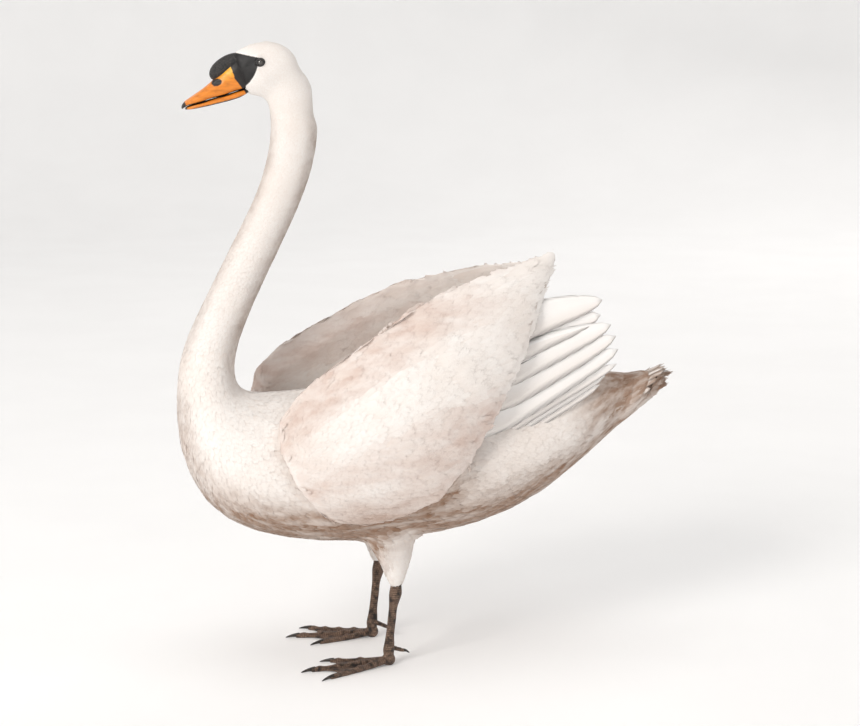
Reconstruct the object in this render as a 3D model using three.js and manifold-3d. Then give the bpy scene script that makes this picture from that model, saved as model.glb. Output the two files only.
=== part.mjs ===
// A life-size mute swan (Cygnus olor), standing at ease with its wings half raised over its back.
// Units are millimetres, +Z is up. The bird faces -Y and its left side is +X.
// The origin lies on the floor, below the middle of the bird's length.
import * as THREE from "three";
import { mergeVertices } from "three/addons/utils/BufferGeometryUtils.js";
import Module from "manifold-3d";

const wasm = await Module();
wasm.setup();

// Driving dimensions.
const GAP = 0.4; // between neighbouring pieces
const FAR = 2000; // larger than the bird

const EYE_Y = -261; // the eye's place on the middle plane, from which the head is set out
const EYE_Z = 945;
const HEAD_PITCH = THREE.MathUtils.degToRad(18.5); // bill below the horizon
const EYE_RADIUS = 7;
const EYE_SIDE = 25;

const LEG_SIDE = 74; // tarsus to the middle plane
const LEG_SHIFT = { left: -3, right: -8 }; // along Y, from the place at which the legs are set out
const TOE_OUT = THREE.MathUtils.degToRad(9);
const ANKLE = { y: -60, z: 122 };
const FOOT_JOINT = { y: -72, z: 21 }; // the lower end of the shank

// Materials.
const paint = (color, roughness) => new THREE.MeshStandardMaterial({ color, roughness, metalness: 0 });
const plumage = paint(0xf3efe8, 0.85);
const quill = paint(0xf7f5f0, 0.7);
const billOrange = paint(0xd8741a, 0.45);
const bareBlack = paint(0x17130f, 0.6);
const legBlack = paint(0x2a221b, 0.65);
const clawHorn = paint(0x15110e, 0.4);
const eyeDark = paint(0x1c0f08, 0.08);

// Solids.
function toSolid(geometry) {
  const bare = new THREE.BufferGeometry();
  bare.setAttribute("position", geometry.getAttribute("position"));
  if (geometry.index) bare.setIndex(geometry.index);
  const merged = mergeVertices(bare, 1e-4);
  return new wasm.Manifold(
    new wasm.Mesh({
      numProp: 3,
      vertProperties: new Float32Array(merged.attributes.position.array),
      triVerts: new Uint32Array(merged.index.array),
    }),
  );
}

function toMesh(name, solid, material) {
  const { vertProperties, triVerts, numProp } = solid.getMesh();
  const count = vertProperties.length / numProp;
  const position = new Float32Array(count * 3);
  for (let i = 0; i < count; i++) {
    position.set(vertProperties.subarray(i * numProp, i * numProp + 3), i * 3);
  }
  const geometry = new THREE.BufferGeometry();
  geometry.setAttribute("position", new THREE.BufferAttribute(position, 3));
  geometry.setIndex(new THREE.BufferAttribute(new Uint32Array(triVerts), 1));
  geometry.computeVertexNormals();
  const mesh = new THREE.Mesh(geometry, material);
  mesh.name = name;
  return mesh;
}

// A closed solid through rings of equal length, each closed by a fan at the two ends.
function loft(rings) {
  const around = rings[0].length;
  const points = rings.flat();
  const first = points.length;
  for (const ring of [rings[0], rings.at(-1)]) {
    const middle = ring.reduce((sum, p) => sum.add(p), new THREE.Vector3()).divideScalar(around);
    points.push(middle);
  }
  const faces = [];
  for (let r = 0; r + 1 < rings.length; r++) {
    for (let k = 0; k < around; k++) {
      const a = r * around + k;
      const b = r * around + ((k + 1) % around);
      faces.push(a, b, a + around, b, b + around, a + around);
    }
  }
  const last = (rings.length - 1) * around;
  for (let k = 0; k < around; k++) {
    const next = (k + 1) % around;
    faces.push(first, next, k, first + 1, last + k, last + next);
  }
  const geometry = new THREE.BufferGeometry().setFromPoints(points).setIndex(faces);
  const solid = toSolid(geometry);
  if (solid.volume() >= 0) return solid;
  for (let i = 0; i < faces.length; i += 3) [faces[i + 1], faces[i + 2]] = [faces[i + 2], faces[i + 1]];
  return toSolid(geometry.setIndex(faces));
}

// Smooth values through rows of numbers: stations(rows)(t), with t from 0 to 1 counted by row.
function stations(rows) {
  const width = rows[0].length;
  const curves = [];
  for (let c = 0; c < width; c += 3) {
    const part = rows.map((row) => new THREE.Vector3(row[c], row[c + 1] ?? 0, row[c + 2] ?? 0));
    curves.push(new THREE.CatmullRomCurve3(part, false, "catmullrom", 0.5));
  }
  return (t) => curves.flatMap((curve) => curve.getPoint(t).toArray()).slice(0, width);
}

// Values at a place u, for rows that start with u in rising order.
function profile(rows) {
  const at = stations(rows);
  return (u) => {
    let low = 0;
    let high = 1;
    for (let i = 0; i < 40; i++) {
      const middle = (low + high) / 2;
      if (at(middle)[0] < u) low = middle;
      else high = middle;
    }
    return at((low + high) / 2).slice(1);
  };
}

const mirrored = (solid) => solid.mirror([1, 0, 0]);
const steps = (count) => Array.from({ length: count + 1 }, (_, i) => i / count);

function ball(x, y, z, radius, across = 11) {
  return toSolid(new THREE.SphereGeometry(radius, across, across - 4).translate(x, y, z));
}

// Neck and trunk: one sweep from the nape to the rump.
// Each station: back y and z, half width, front or belly y and z, how low the widest level lies.
const NECK_AND_TRUNK = [
  [-188, 931, 29, -252, 897, 0],
  [-172, 888, 31.5, -247, 866, 0],
  [-169, 840, 33, -247, 834, 0],
  [-179, 780, 34, -254, 794, 0],
  [-201, 721, 35, -271, 743, 0],
  [-228, 664, 36, -297, 690, 0],
  [-256, 607, 38, -325, 635, 0],
  [-281, 553, 41, -356, 574, 0],
  [-299, 504, 48, -386, 508, 0],
  [-303, 468, 62, -400, 436, 0],
  [-297, 446, 86, -396, 346, 0.04],
  [-279, 437, 112, -359, 262, 0.1],
  [-245, 436, 130, -290, 214, 0.14],
  [-172, 440, 141, -188, 192, 0.16],
  [-70, 447, 141, -76, 190, 0.16],
  [40, 450, 130, 46, 201, 0.14],
  [140, 448, 106, 160, 240, 0.1],
  [218, 446, 79, 250, 303, 0.05],
  [272, 449, 56, 306, 351, 0],
  [302, 448, 38, 330, 378, 0],
  [320, 446, 24, 340, 398, 0],
  [329, 440, 8, 340, 418, 0],
];
const bodyAt = stations(NECK_AND_TRUNK);
const BODY_AROUND = 18;

function bodyRing(t, grow) {
  const [backY, backZ, halfWidth, bellyY, bellyZ, low] = bodyAt(t);
  const axis = new THREE.Vector3(0, backY - bellyY, backZ - bellyZ).multiplyScalar(0.5);
  const middle = new THREE.Vector3(0, (backY + bellyY) / 2, (backZ + bellyZ) / 2);
  axis.setLength(axis.length() + grow);
  return steps(BODY_AROUND)
    .slice(0, -1)
    .map((k) => {
      const angle = k * 2 * Math.PI;
      const rise = Math.cos(angle) - low * Math.sin(angle) ** 2;
      return middle
        .clone()
        .addScaledVector(axis, rise)
        .setX((halfWidth + grow) * Math.sin(angle));
    });
}

const BODY_STEPS = 40;
const bodySweep = (grow) => loft(steps(BODY_STEPS).map((t) => bodyRing(t, grow)));
const trunkClearance = bodySweep(GAP);
const bodyGrown = trunkClearance.add(mirrored(trunkClearance)).add(trunkClearance.translate([0, GAP, 0]));

// Head and bill, set out in the head's own frame.
// u runs forward along the bill from the eye, v runs up from the eye.
function headPoint(x, u, v) {
  const forward = u * Math.cos(HEAD_PITCH) + v * Math.sin(HEAD_PITCH);
  const up = -u * Math.sin(HEAD_PITCH) + v * Math.cos(HEAD_PITCH);
  return new THREE.Vector3(x, EYE_Y - forward, EYE_Z + up);
}

// Each row: u, top v, bottom v, half width. Squareness 1 is an ellipse, and less is boxier.
function headLoft(rows, count, around, squareTop = 1, squareBottom = 1) {
  const at = profile(rows);
  const from = rows[0][0];
  const length = rows.at(-1)[0] - from;
  return loft(
    steps(count).map((share) => {
      const u = from + length * (1 - Math.cos(share * Math.PI)) / 2;
      const [top, bottom, half] = at(u);
      return steps(around)
        .slice(0, -1)
        .map((k) => {
          const angle = k * 2 * Math.PI;
          const c = Math.cos(angle);
          const s = Math.sin(angle);
          const power = c > 0 ? squareTop : squareBottom;
          const rise = Math.sign(c) * Math.abs(c) ** power;
          return headPoint(half * s, u, (top + bottom) / 2 + ((top - bottom) / 2) * rise);
        });
    }),
  );
}

const HEAD = [
  [-57, -13, -30, 9],
  [-54, -1, -44, 18],
  [-44, 14, -58, 26],
  [-28, 25, -66, 30.5],
  [-8, 30.5, -65, 31.5],
  [10, 31, -56, 30],
  [24, 28.5, -47, 26.5],
  [37, 25, -40, 22],
];
const BILL_UPPER = [
  [30, 20, -31, 20],
  [46, 13, -30.5, 18.6],
  [62, 4, -30, 17.8],
  [78, -4.5, -29, 17.8],
  [94, -10.5, -28, 18.4],
  [108, -14.5, -27.2, 18.4],
  [120, -18, -27, 16],
  [129, -21.5, -28, 10.5],
  [134, -25.5, -29.5, 3.5],
];
const BILL_LOWER = [
  [28, -31.6, -40.5, 18],
  [50, -31, -41, 16.4],
  [80, -29.6, -39, 15.8],
  [105, -28, -36.4, 15.6],
  [119, -27.6, -34.5, 12.4],
  [128, -28.6, -32.6, 6],
];
const KNOB = [
  [28, 26, 2, 13],
  [40, 25.5, 2, 13.6],
  [53, 24, 0, 13.6],
  [64, 20.5, -2, 12.4],
  [71, 16, -2, 9.6],
  [75.5, 10.5, -0.5, 5.6],
  [77, 7, 3, 2],
];
const BILL_BASE = 36; // the feathered head ends here, along u

function slab(middle, normal, size, thick) {
  const box = new THREE.BoxGeometry(size, size, thick);
  const turn = new THREE.Quaternion().setFromUnitVectors(new THREE.Vector3(0, 0, 1), normal);
  return toSolid(box.applyQuaternion(turn).translate(middle.x, middle.y, middle.z));
}

// Everything ahead of the plane across the bill at u.
function aheadOf(u) {
  const normal = headPoint(0, 1, 0).sub(headPoint(0, 0, 0));
  return slab(headPoint(0, u + FAR / 2, 0), normal, FAR, FAR);
}

const eyes = { left: ball(EYE_SIDE, EYE_Y, EYE_Z, EYE_RADIUS) };
eyes.right = mirrored(eyes.left);
const eyeSockets = ball(EYE_SIDE, EYE_Y, EYE_Z, EYE_RADIUS + GAP).add(
  mirrored(ball(EYE_SIDE, EYE_Y, EYE_Z, EYE_RADIUS + GAP)),
);

const skullShape = headLoft(HEAD, 12, 16).subtract(eyeSockets).subtract(aheadOf(BILL_BASE));
const billUpper = headLoft(BILL_UPPER, 12, 12, 0.9, 0.32).intersect(aheadOf(BILL_BASE + GAP));
const billLower = headLoft(BILL_LOWER, 9, 10, 0.35, 0.9).intersect(aheadOf(BILL_BASE + GAP));
const grownUpper = headLoft(
  BILL_UPPER.map(([u, top, bottom, half]) => [u * 1.004, top + GAP, bottom - GAP, half + GAP]),
  12, 12, 0.9, 0.32,
);
const knob = headLoft(KNOB, 9, 11).intersect(aheadOf(BILL_BASE + GAP)).subtract(grownUpper);

// The flesh made whole, then parted by thin cuts.
// Cuts across the sweep, counted in its stations.
const CUTS = [0.57, 3.5, 6.5, 9];
const PART_NAMES = ["head", "neck_upper", "neck_middle", "neck_lower", "trunk"];

function cutAcross(t) {
  const [backY, backZ, , bellyY, bellyZ] = bodyAt(t);
  const back = new THREE.Vector3(0, backY, backZ);
  const belly = new THREE.Vector3(0, bellyY, bellyZ);
  const normal = back.clone().sub(belly).normalize().cross(new THREE.Vector3(1, 0, 0));
  return slab(back.clone().lerp(belly, 0.5), normal, back.distanceTo(belly) * 1.6, GAP);
}

function partedFlesh() {
  let flesh = bodySweep(0).add(skullShape);
  for (const station of CUTS) flesh = flesh.subtract(cutAcross(station / (NECK_AND_TRUNK.length - 1)));
  const pieces = flesh.decompose().filter((piece) => piece.volume() > 50);
  const height = (piece) => {
    const box = piece.boundingBox();
    return (box.min[2] + box.max[2]) / 2;
  };
  return pieces.sort((a, b) => height(b) - height(a));
}

// Wings.
// The coverts of the half raised wing form a leaf, whose axis runs from the wrist up and back to the tip.
const LEAF_ROOT = { y: -215, z: 330 };
const LEAF_TIP = { y: 196, z: 652 };
const LEAF_LENGTH = Math.hypot(LEAF_TIP.y - LEAF_ROOT.y, LEAF_TIP.z - LEAF_ROOT.z);
const LEAF_TURN = Math.atan2(LEAF_TIP.z - LEAF_ROOT.z, LEAF_TIP.y - LEAF_ROOT.y);
// Each row: distance along the axis, reach above it, reach below it, then the side position (x) of the
// lower edge, the middle and the upper edge, and the thickness.
const LEAF = [
  [-22, 12, -72, 134, 142, 130, 14],
  [-4, 58, -106, 136, 152, 116, 34],
  [30, 88, -134, 140, 162, 104, 46],
  [80, 97, -157, 144, 170, 104, 46],
  [150, 97, -172, 144, 172, 110, 42],
  [215, 94, -156, 140, 166, 112, 32],
  [285, 88, -131, 130, 152, 108, 20],
  [355, 73, -103, 114, 130, 98, 12],
  [425, 50, -66, 90, 102, 82, 9],
  [480, 25, -34, 68, 76, 64, 7],
  [520, 5, -8, 50, 52, 49, 5],
];
const leafAt = profile(LEAF);
const WING_PIVOT = { y: 25, z: 537 };
const RIGHT_WING_TURN = -9; // degrees about X

// A point of the wing's outer face: a along the leaf, across from -1 (lower edge) to 1 (upper edge).
function leafPoint(a, across, depth) {
  const [above, below, xLow, xMiddle, xHigh, thick] = leafAt(a);
  const b = ((above + below) / 2) + ((above - below) / 2) * across;
  const x = xMiddle + ((xHigh - xLow) / 2) * across + ((xHigh + xLow) / 2 - xMiddle) * across ** 2;
  const y = LEAF_ROOT.y + a * Math.cos(LEAF_TURN) - b * Math.sin(LEAF_TURN);
  const z = LEAF_ROOT.z + a * Math.sin(LEAF_TURN) + b * Math.cos(LEAF_TURN);
  const body = Math.sqrt(Math.max(0, 1 - across ** 4));
  return new THREE.Vector3(x - depth * (1.2 + (thick - 1.2) * body), y, z);
}

// A closed pillow between an outer and an inner face, each a function of (u, v) over a grid.
function pillow(face, uCount, vCount) {
  return loft(
    steps(uCount).map((u) => {
      const outer = steps(vCount).map((v) => face(u, v, 0));
      const inner = steps(vCount).map((v) => face(u, v, 1)).reverse();
      return [...outer, ...inner];
    }),
  );
}

const leafFace = (grow) => (u, v, depth) => {
  const a = LEAF[0][0] + (LEAF.at(-1)[0] - LEAF[0][0]) * (1 - Math.cos(u * Math.PI)) / 2;
  const point = leafPoint(a, v * 2 - 1, depth);
  return point.setX(point.x + (depth ? -grow : grow));
};
const coverts = pillow(leafFace(0), 11, 7);
const covertsGrown = pillow(leafFace(GAP), 11, 7);

// Flight feathers: a fan of overlapping quills whose tips follow an arc. The highest and the lowest quill
// are given as: root y, root z, tip y, tip z, side position at the root and at the tip.
const SECONDARIES = {
  top: [60, 520, 264, 575, 92, 60],
  low: [20, 362, 290, 496, 112, 64],
  count: 5,
  half: 28,
  thick: 9,
};
const PRIMARIES = {
  top: [20, 340, 290, 474, 110, 60],
  low: [10, 312, 262, 441, 112, 66],
  count: 3,
  half: 18,
  thick: 7,
};
const QUILL_ROOT_WIDTH = 0.55; // of its full width
const QUILL_TIP_WIDTH = Math.sqrt(0.02);

function quillFan(fan, grow = 0) {
  const { top, low, count } = fan;
  const quills = steps(count - 1).map((share) => top.map((value, i) => value + (low[i] - value) * share));
  const solids = quills.map(([rootY, rootZ, tipY, tipZ, rootX, tipX]) => {
    const root = new THREE.Vector3(rootX, rootY, rootZ);
    const tip = new THREE.Vector3(tipX, tipY, tipZ);
    const along = tip.clone().sub(root);
    const length = along.length();
    along.normalize();
    const flat = new THREE.Vector3(1, 0, 0).cross(along).normalize();
    const out = along.clone().cross(flat).normalize();
    const rows = steps(4).map((s) => {
      const rounded = Math.max(QUILL_TIP_WIDTH, Math.sqrt(1 - s ** 5));
      const half = (fan.half + grow) * Math.min(1, QUILL_ROOT_WIDTH + s) * rounded;
      const middle = root.clone().addScaledVector(along, length * s);
      const corner = (side, deep) =>
        middle
          .clone()
          .addScaledVector(flat, half * side)
          .addScaledVector(out, (fan.thick / 2 + grow) * deep);
      return [corner(-1, 0), corner(0, 1), corner(1, 0), corner(0, -1)];
    });
    return loft(rows);
  });
  return solids.reduce((sum, solid) => sum.add(solid));
}

const secondaries = quillFan(SECONDARIES).subtract(covertsGrown);
const primaries = quillFan(PRIMARIES).subtract(quillFan(SECONDARIES, GAP)).subtract(covertsGrown);

// The largest body of a cut solid, without the crumbs that a cut can leave.
const largest = (solid) => solid.decompose().sort((a, b) => b.volume() - a.volume())[0];

// Tail.
const TAIL_ROOT = { y: 240, z: 392 };
const TAIL_RISE = THREE.MathUtils.degToRad(23);
const TAIL_LENGTH = 164;
const TAIL_QUILLS = 7;
const TAIL_DROOP = 26; // the outer quills hang this much lower
const TAIL_SPREAD = THREE.MathUtils.degToRad(21); // each side of the middle
const TAIL_WEDGE = 0.2; // the outer quills are this share shorter
const TAIL_QUILL = { half: 20, thickRoot: 4.5, thickTip: 2.5 };

// A point s of the way along the quill at this place in the fan, from -1 (right) to 1 (left).
function tailPoint(place, s) {
  const angle = place * TAIL_SPREAD;
  const reach = TAIL_LENGTH * (1 - TAIL_WEDGE * place ** 2) * s;
  const back = reach * Math.cos(angle) * Math.cos(TAIL_RISE);
  const up = reach * Math.cos(angle) * Math.sin(TAIL_RISE) - TAIL_DROOP * s * place ** 2;
  return new THREE.Vector3(reach * Math.sin(angle), TAIL_ROOT.y + back, TAIL_ROOT.z + up);
}

function tailFan() {
  const quills = steps(TAIL_QUILLS - 1).map((share) => {
    const place = share * 2 - 1;
    const along = tailPoint(place, 1).sub(tailPoint(place, 0)).normalize();
    const flat = tailPoint(place + 0.1, 1).sub(tailPoint(place - 0.1, 1));
    flat.addScaledVector(along, -flat.dot(along)).normalize();
    const out = flat.clone().cross(along).normalize();
    const rows = steps(3).map((s) => {
      const half = TAIL_QUILL.half * Math.max(QUILL_TIP_WIDTH, Math.sqrt(1 - s ** 5));
      const thick = TAIL_QUILL.thickRoot + (TAIL_QUILL.thickTip - TAIL_QUILL.thickRoot) * s;
      const corner = (side, deep) =>
        tailPoint(place, s).addScaledVector(flat, half * side).addScaledVector(out, thick * deep);
      return [corner(-1, 0), corner(0, 1), corner(1, 0), corner(0, -1)];
    });
    return loft(rows);
  });
  return quills.reduce((sum, quillSolid) => sum.add(quillSolid));
}
const tail = largest(tailFan().subtract(bodyGrown));

// Legs, made for the left side at its own place.
// A tube through rows of: x, y, z, radius across, radius fore and aft.
function limb(rows, count, around) {
  const at = stations(rows);
  return loft(
    steps(count).map((t) => {
      const [x, y, z, across, deep] = at(t);
      return steps(around)
        .slice(0, -1)
        .map((k) => {
          const angle = k * 2 * Math.PI;
          return new THREE.Vector3(x + across * Math.sin(angle), y + deep * Math.cos(angle), z);
        });
    }),
  );
}

const THIGH = [
  [66, -78, 262, 40, 66],
  [70, -76, 222, 38, 58],
  [72, -66, 192, 28, 38],
  [73, -61, 165, 20, 26],
  [74, -61, 142, 14.5, 17.5],
  [74, ANKLE.y, 126, 10.5, 12],
];
const TARSUS = [
  [LEG_SIDE, ANKLE.y, 125.6, 8.5, 10],
  [LEG_SIDE, ANKLE.y - 1, 114, 8, 9.6],
  [LEG_SIDE, ANKLE.y - 4, 98, 6.2, 7.8],
  [LEG_SIDE, ANKLE.y - 7, 72, 5.6, 7],
  [LEG_SIDE, ANKLE.y - 10, 44, 6, 7.2],
  [LEG_SIDE, FOOT_JOINT.y, 27, 7.8, 8.6],
  [LEG_SIDE, FOOT_JOINT.y, 13, 6.6, 7.2],
];

// Toes: turn from the foot's own heading, length without the claw, radius at the root.
const TOES = {
  inner: { turn: -25, length: 96, radius: 7 },
  middle: { turn: -2, length: 128, radius: 7.6 },
  outer: { turn: 20, length: 116, radius: 7 },
};
const TOE_TAPER = 0.38; // the share of its radius that a toe loses towards its tip
const TOE_KNUCKLES = { count: 3, swell: 0.1 };
const HEEL_RADIUS = 11;
const HEEL_HEIGHT = 9;
const SOLE = 0; // floor level, to which the pads are cut flat
const CLAW_LENGTH = 17;
const HIND_CLAW = { length: 9, radius: 2.4, drop: 6 };
const WEB = { reach: 0.97, hang: 0.2, thick: 2.4, height: 1.6 }; // reach and hang are shares

function toeDirection(turnDegrees) {
  const heading = TOE_OUT + THREE.MathUtils.degToRad(turnDegrees);
  return new THREE.Vector3(Math.sin(heading), -Math.cos(heading), 0);
}

// The toe's centre line falls from the joint to the floor, with three low knuckles.
function toeRing(toe, s, around) {
  const direction = toeDirection(toe.turn);
  const side = new THREE.Vector3(-direction.y, direction.x, 0);
  const swell = 1 + TOE_KNUCKLES.swell * Math.cos(s * Math.PI * 2 * TOE_KNUCKLES.count);
  const radius = toe.radius * (1 - TOE_TAPER * s) * swell;
  const height = radius * 0.82 + 4 * (1 - s) ** 3;
  const root = new THREE.Vector3(LEG_SIDE, FOOT_JOINT.y, height);
  const middle = root.addScaledVector(direction, toe.length * s - 2);
  return steps(around)
    .slice(0, -1)
    .map((k) => {
      const angle = k * 2 * Math.PI + 0.3;
      return middle
        .clone()
        .addScaledVector(side, radius * Math.cos(angle))
        .add(new THREE.Vector3(0, 0, radius * Math.sin(angle)));
    });
}

// The web between two toes: a thin plate that hangs back between their tips.
function web(one, other) {
  const shape = new THREE.Shape();
  const heel = new THREE.Vector2(LEG_SIDE, FOOT_JOINT.y - 6);
  const corner = (toe) => {
    const direction = toeDirection(toe.turn);
    const reach = toe.length * WEB.reach;
    return new THREE.Vector2(LEG_SIDE + direction.x * reach, FOOT_JOINT.y + direction.y * reach);
  };
  const start = corner(one);
  const end = corner(other);
  const middle = start.clone().lerp(end, 0.5).lerp(heel, WEB.hang);
  shape.moveTo(heel.x, heel.y);
  shape.lineTo(start.x, start.y);
  shape.quadraticCurveTo(middle.x, middle.y, end.x, end.y);
  shape.closePath();
  const settings = { depth: WEB.thick, bevelEnabled: false, curveSegments: 6 };
  const plate = new THREE.ExtrudeGeometry(shape, settings);
  return toSolid(plate.translate(0, 0, WEB.height));
}

function foot() {
  const toes = Object.values(TOES).map((toe) => loft(steps(6).map((s) => toeRing(toe, s, 6))));
  const joint = ball(LEG_SIDE, FOOT_JOINT.y, HEEL_HEIGHT, HEEL_RADIUS, 9);
  const whole = [...toes, web(TOES.inner, TOES.middle), web(TOES.middle, TOES.outer)].reduce(
    (sum, piece) => sum.add(piece),
    joint,
  );
  const above = toSolid(new THREE.BoxGeometry(FAR, FAR, FAR).translate(0, 0, SOLE + FAR / 2));
  return whole.intersect(above);
}

// A horn claw that curves down from its root.
function claw(root, direction, length, radius, drop) {
  const rings = steps(4).map((s) => {
    const middle = root.clone().addScaledVector(direction, length * s).setZ(root.z - drop * s ** 2);
    const side = new THREE.Vector3(-direction.y, direction.x, 0).normalize();
    const size = radius * (1 - s) ** 0.7 + 0.35;
    return steps(6)
      .slice(0, -1)
      .map((k) => {
        const angle = k * 2 * Math.PI;
        return middle
          .clone()
          .addScaledVector(side, size * 0.75 * Math.cos(angle))
          .add(new THREE.Vector3(0, 0, size * Math.sin(angle)));
      });
  });
  return loft(rings);
}

// The short hind toe, raised on the back of the shank.
const HALLUX = {
  root: new THREE.Vector3(LEG_SIDE - 6, FOOT_JOINT.y + 6, 27),
  length: 21,
  drop: 9,
  radius: 4.6,
  taper: 0.4,
};

function hallux() {
  const direction = new THREE.Vector3(-0.3, 1, 0).normalize();
  const side = new THREE.Vector3(-direction.y, direction.x, 0);
  const rings = steps(4).map((s) => {
    const middle = HALLUX.root.clone().addScaledVector(direction, HALLUX.length * s);
    middle.setZ(HALLUX.root.z - HALLUX.drop * s);
    const radius = HALLUX.radius * (1 - HALLUX.taper * s);
    return steps(8)
      .slice(0, -1)
      .map((k) => {
        const angle = k * 2 * Math.PI;
        return middle
          .clone()
          .addScaledVector(side, radius * Math.cos(angle))
          .add(new THREE.Vector3(0, 0, radius * Math.sin(angle)));
      });
  });
  return { solid: loft(rings), direction };
}

function leg() {
  const thigh = limb(THIGH, 8, 14);
  const tarsus = limb(TARSUS, 9, 10);
  const lastRow = TARSUS.length - 1;
  const grownRows = TARSUS.map(([x, y, z, across, deep], i) => {
    const stretch = i === 0 ? GAP : i === lastRow ? -GAP : 0;
    return [x, y, z + stretch, across + GAP, deep + GAP];
  });
  const tarsusGrown = limb(grownRows, 9, 10);
  const heelGrown = ball(LEG_SIDE, FOOT_JOINT.y, HEEL_HEIGHT, HEEL_RADIUS + GAP, 9);
  const hind = hallux();
  const footWhole = largest(foot().subtract(tarsusGrown));
  const hindWhole = largest(hind.solid.subtract(tarsusGrown).subtract(heelGrown));
  const pieces = {
    thigh: [thigh, plumage],
    tarsus: [tarsus, legBlack],
    foot: [footWhole, legBlack],
    hind_toe: [hindWhole, legBlack],
  };
  for (const [name, toe] of Object.entries(TOES)) {
    const direction = toeDirection(toe.turn);
    const radius = toe.radius * 0.62;
    const root = new THREE.Vector3(LEG_SIDE, FOOT_JOINT.y, radius * 0.9 + 2).addScaledVector(
      direction,
      toe.length - 2 + GAP,
    );
    const horn = claw(root, direction, CLAW_LENGTH, radius * 0.78, root.z - 0.9);
    pieces[`claw_${name}`] = [horn, clawHorn];
  }
  const hindTip = HALLUX.root
    .clone()
    .addScaledVector(hind.direction, HALLUX.length + GAP)
    .setZ(HALLUX.root.z - HALLUX.drop);
  const hindHorn = claw(hindTip, hind.direction, HIND_CLAW.length, HIND_CLAW.radius, HIND_CLAW.drop);
  pieces.claw_hind = [hindHorn, clawHorn];
  return pieces;
}

// The bird.
const swan = new THREE.Group();
swan.name = "mute_swan";

partedFlesh().forEach((piece, i) => swan.add(toMesh(PART_NAMES[i], piece, plumage)));
swan.add(toMesh("bill_upper", largest(billUpper), billOrange));
swan.add(toMesh("bill_lower", largest(billLower), billOrange));
swan.add(toMesh("bill_knob", largest(knob), bareBlack));
swan.add(toMesh("tail", tail, quill));

// The right wing is held a little lower behind and higher in front than the left one.
function rightWing(solid) {
  const { y, z } = WING_PIVOT;
  return mirrored(solid).translate([0, -y, -z]).rotate([RIGHT_WING_TURN, 0, 0]).translate([0, y, z]);
}

const wingPieces = {
  coverts: [coverts, plumage],
  secondaries: [secondaries, quill],
  primaries: [primaries, quill],
};
for (const [side, placed] of [["left", (solid) => solid], ["right", rightWing]]) {
  swan.add(toMesh(`eye_${side}`, eyes[side], eyeDark));
  for (const [name, [solid, material]] of Object.entries(wingPieces)) {
    swan.add(toMesh(`wing_${side}_${name}`, largest(placed(solid).subtract(bodyGrown)), material));
  }
}

const legPieces = leg();
for (const [side, turn] of [["left", (s) => s], ["right", mirrored]]) {
  for (const [name, [solid, material]] of Object.entries(legPieces)) {
    const placed = turn(solid).translate([0, LEG_SHIFT[side], 0]);
    swan.add(toMesh(`${name}_${side}`, largest(placed.subtract(bodyGrown)), material));
  }
}

export default swan;
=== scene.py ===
# Looks of a life-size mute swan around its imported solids.
# Metres, +Z up, the bird faces -Y and its left side is +X.
import math

import bmesh
import bpy
import numpy as np
from mathutils import Matrix, Vector, noise
from mathutils.bvhtree import BVHTree


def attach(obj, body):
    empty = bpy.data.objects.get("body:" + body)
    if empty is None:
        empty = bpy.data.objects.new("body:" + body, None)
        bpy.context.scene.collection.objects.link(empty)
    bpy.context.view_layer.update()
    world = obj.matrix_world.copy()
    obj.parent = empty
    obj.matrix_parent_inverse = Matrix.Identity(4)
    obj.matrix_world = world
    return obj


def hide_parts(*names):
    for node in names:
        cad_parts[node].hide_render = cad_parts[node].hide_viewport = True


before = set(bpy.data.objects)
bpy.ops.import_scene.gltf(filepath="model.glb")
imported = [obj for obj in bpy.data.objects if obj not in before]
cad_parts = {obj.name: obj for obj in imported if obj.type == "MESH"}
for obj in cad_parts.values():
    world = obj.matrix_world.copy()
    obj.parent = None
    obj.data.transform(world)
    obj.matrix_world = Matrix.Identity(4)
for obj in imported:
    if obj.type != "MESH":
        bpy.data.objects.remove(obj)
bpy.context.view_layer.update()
scene = bpy.context.scene
mm = 0.001


# nodes: one sheet for shader and geometry trees
class Wire:
    # a socket that can stand in a Python expression; each operator adds a Math node
    def __init__(self, sheet, socket):
        self.sheet = sheet
        self.socket = socket

    def maths(self, operation, *values):
        return self.sheet.add("ShaderNodeMath", {"operation": operation}, dict(enumerate(values)))

    def __add__(self, other):
        return self.maths("ADD", self, other)

    def __sub__(self, other):
        return self.maths("SUBTRACT", self, other)

    def __rsub__(self, other):
        return self.maths("SUBTRACT", other, self)

    def __mul__(self, other):
        return self.maths("MULTIPLY", self, other)

    def __truediv__(self, other):
        return self.maths("DIVIDE", self, other)

    def __pow__(self, other):
        return self.maths("POWER", self, other)

    def __abs__(self):
        return self.maths("ABSOLUTE", self)

    def atLeast(self, other):
        return self.maths("MAXIMUM", self, other)

    def atMost(self, other):
        return self.maths("MINIMUM", self, other)

    def wave(self):
        return self.maths("SINE", self)

    def exp(self):
        return self.maths("EXPONENT", self)

    def ramp(self, low, high, atLow=0.0, atHigh=1.0):
        # a smooth step from atLow to atHigh
        sockets = {"Value": self, "From Min": low, "From Max": high, "To Min": atLow, "To Max": atHigh}
        return self.sheet.add("ShaderNodeMapRange", {"interpolation_type": "SMOOTHSTEP"}, sockets)


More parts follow.
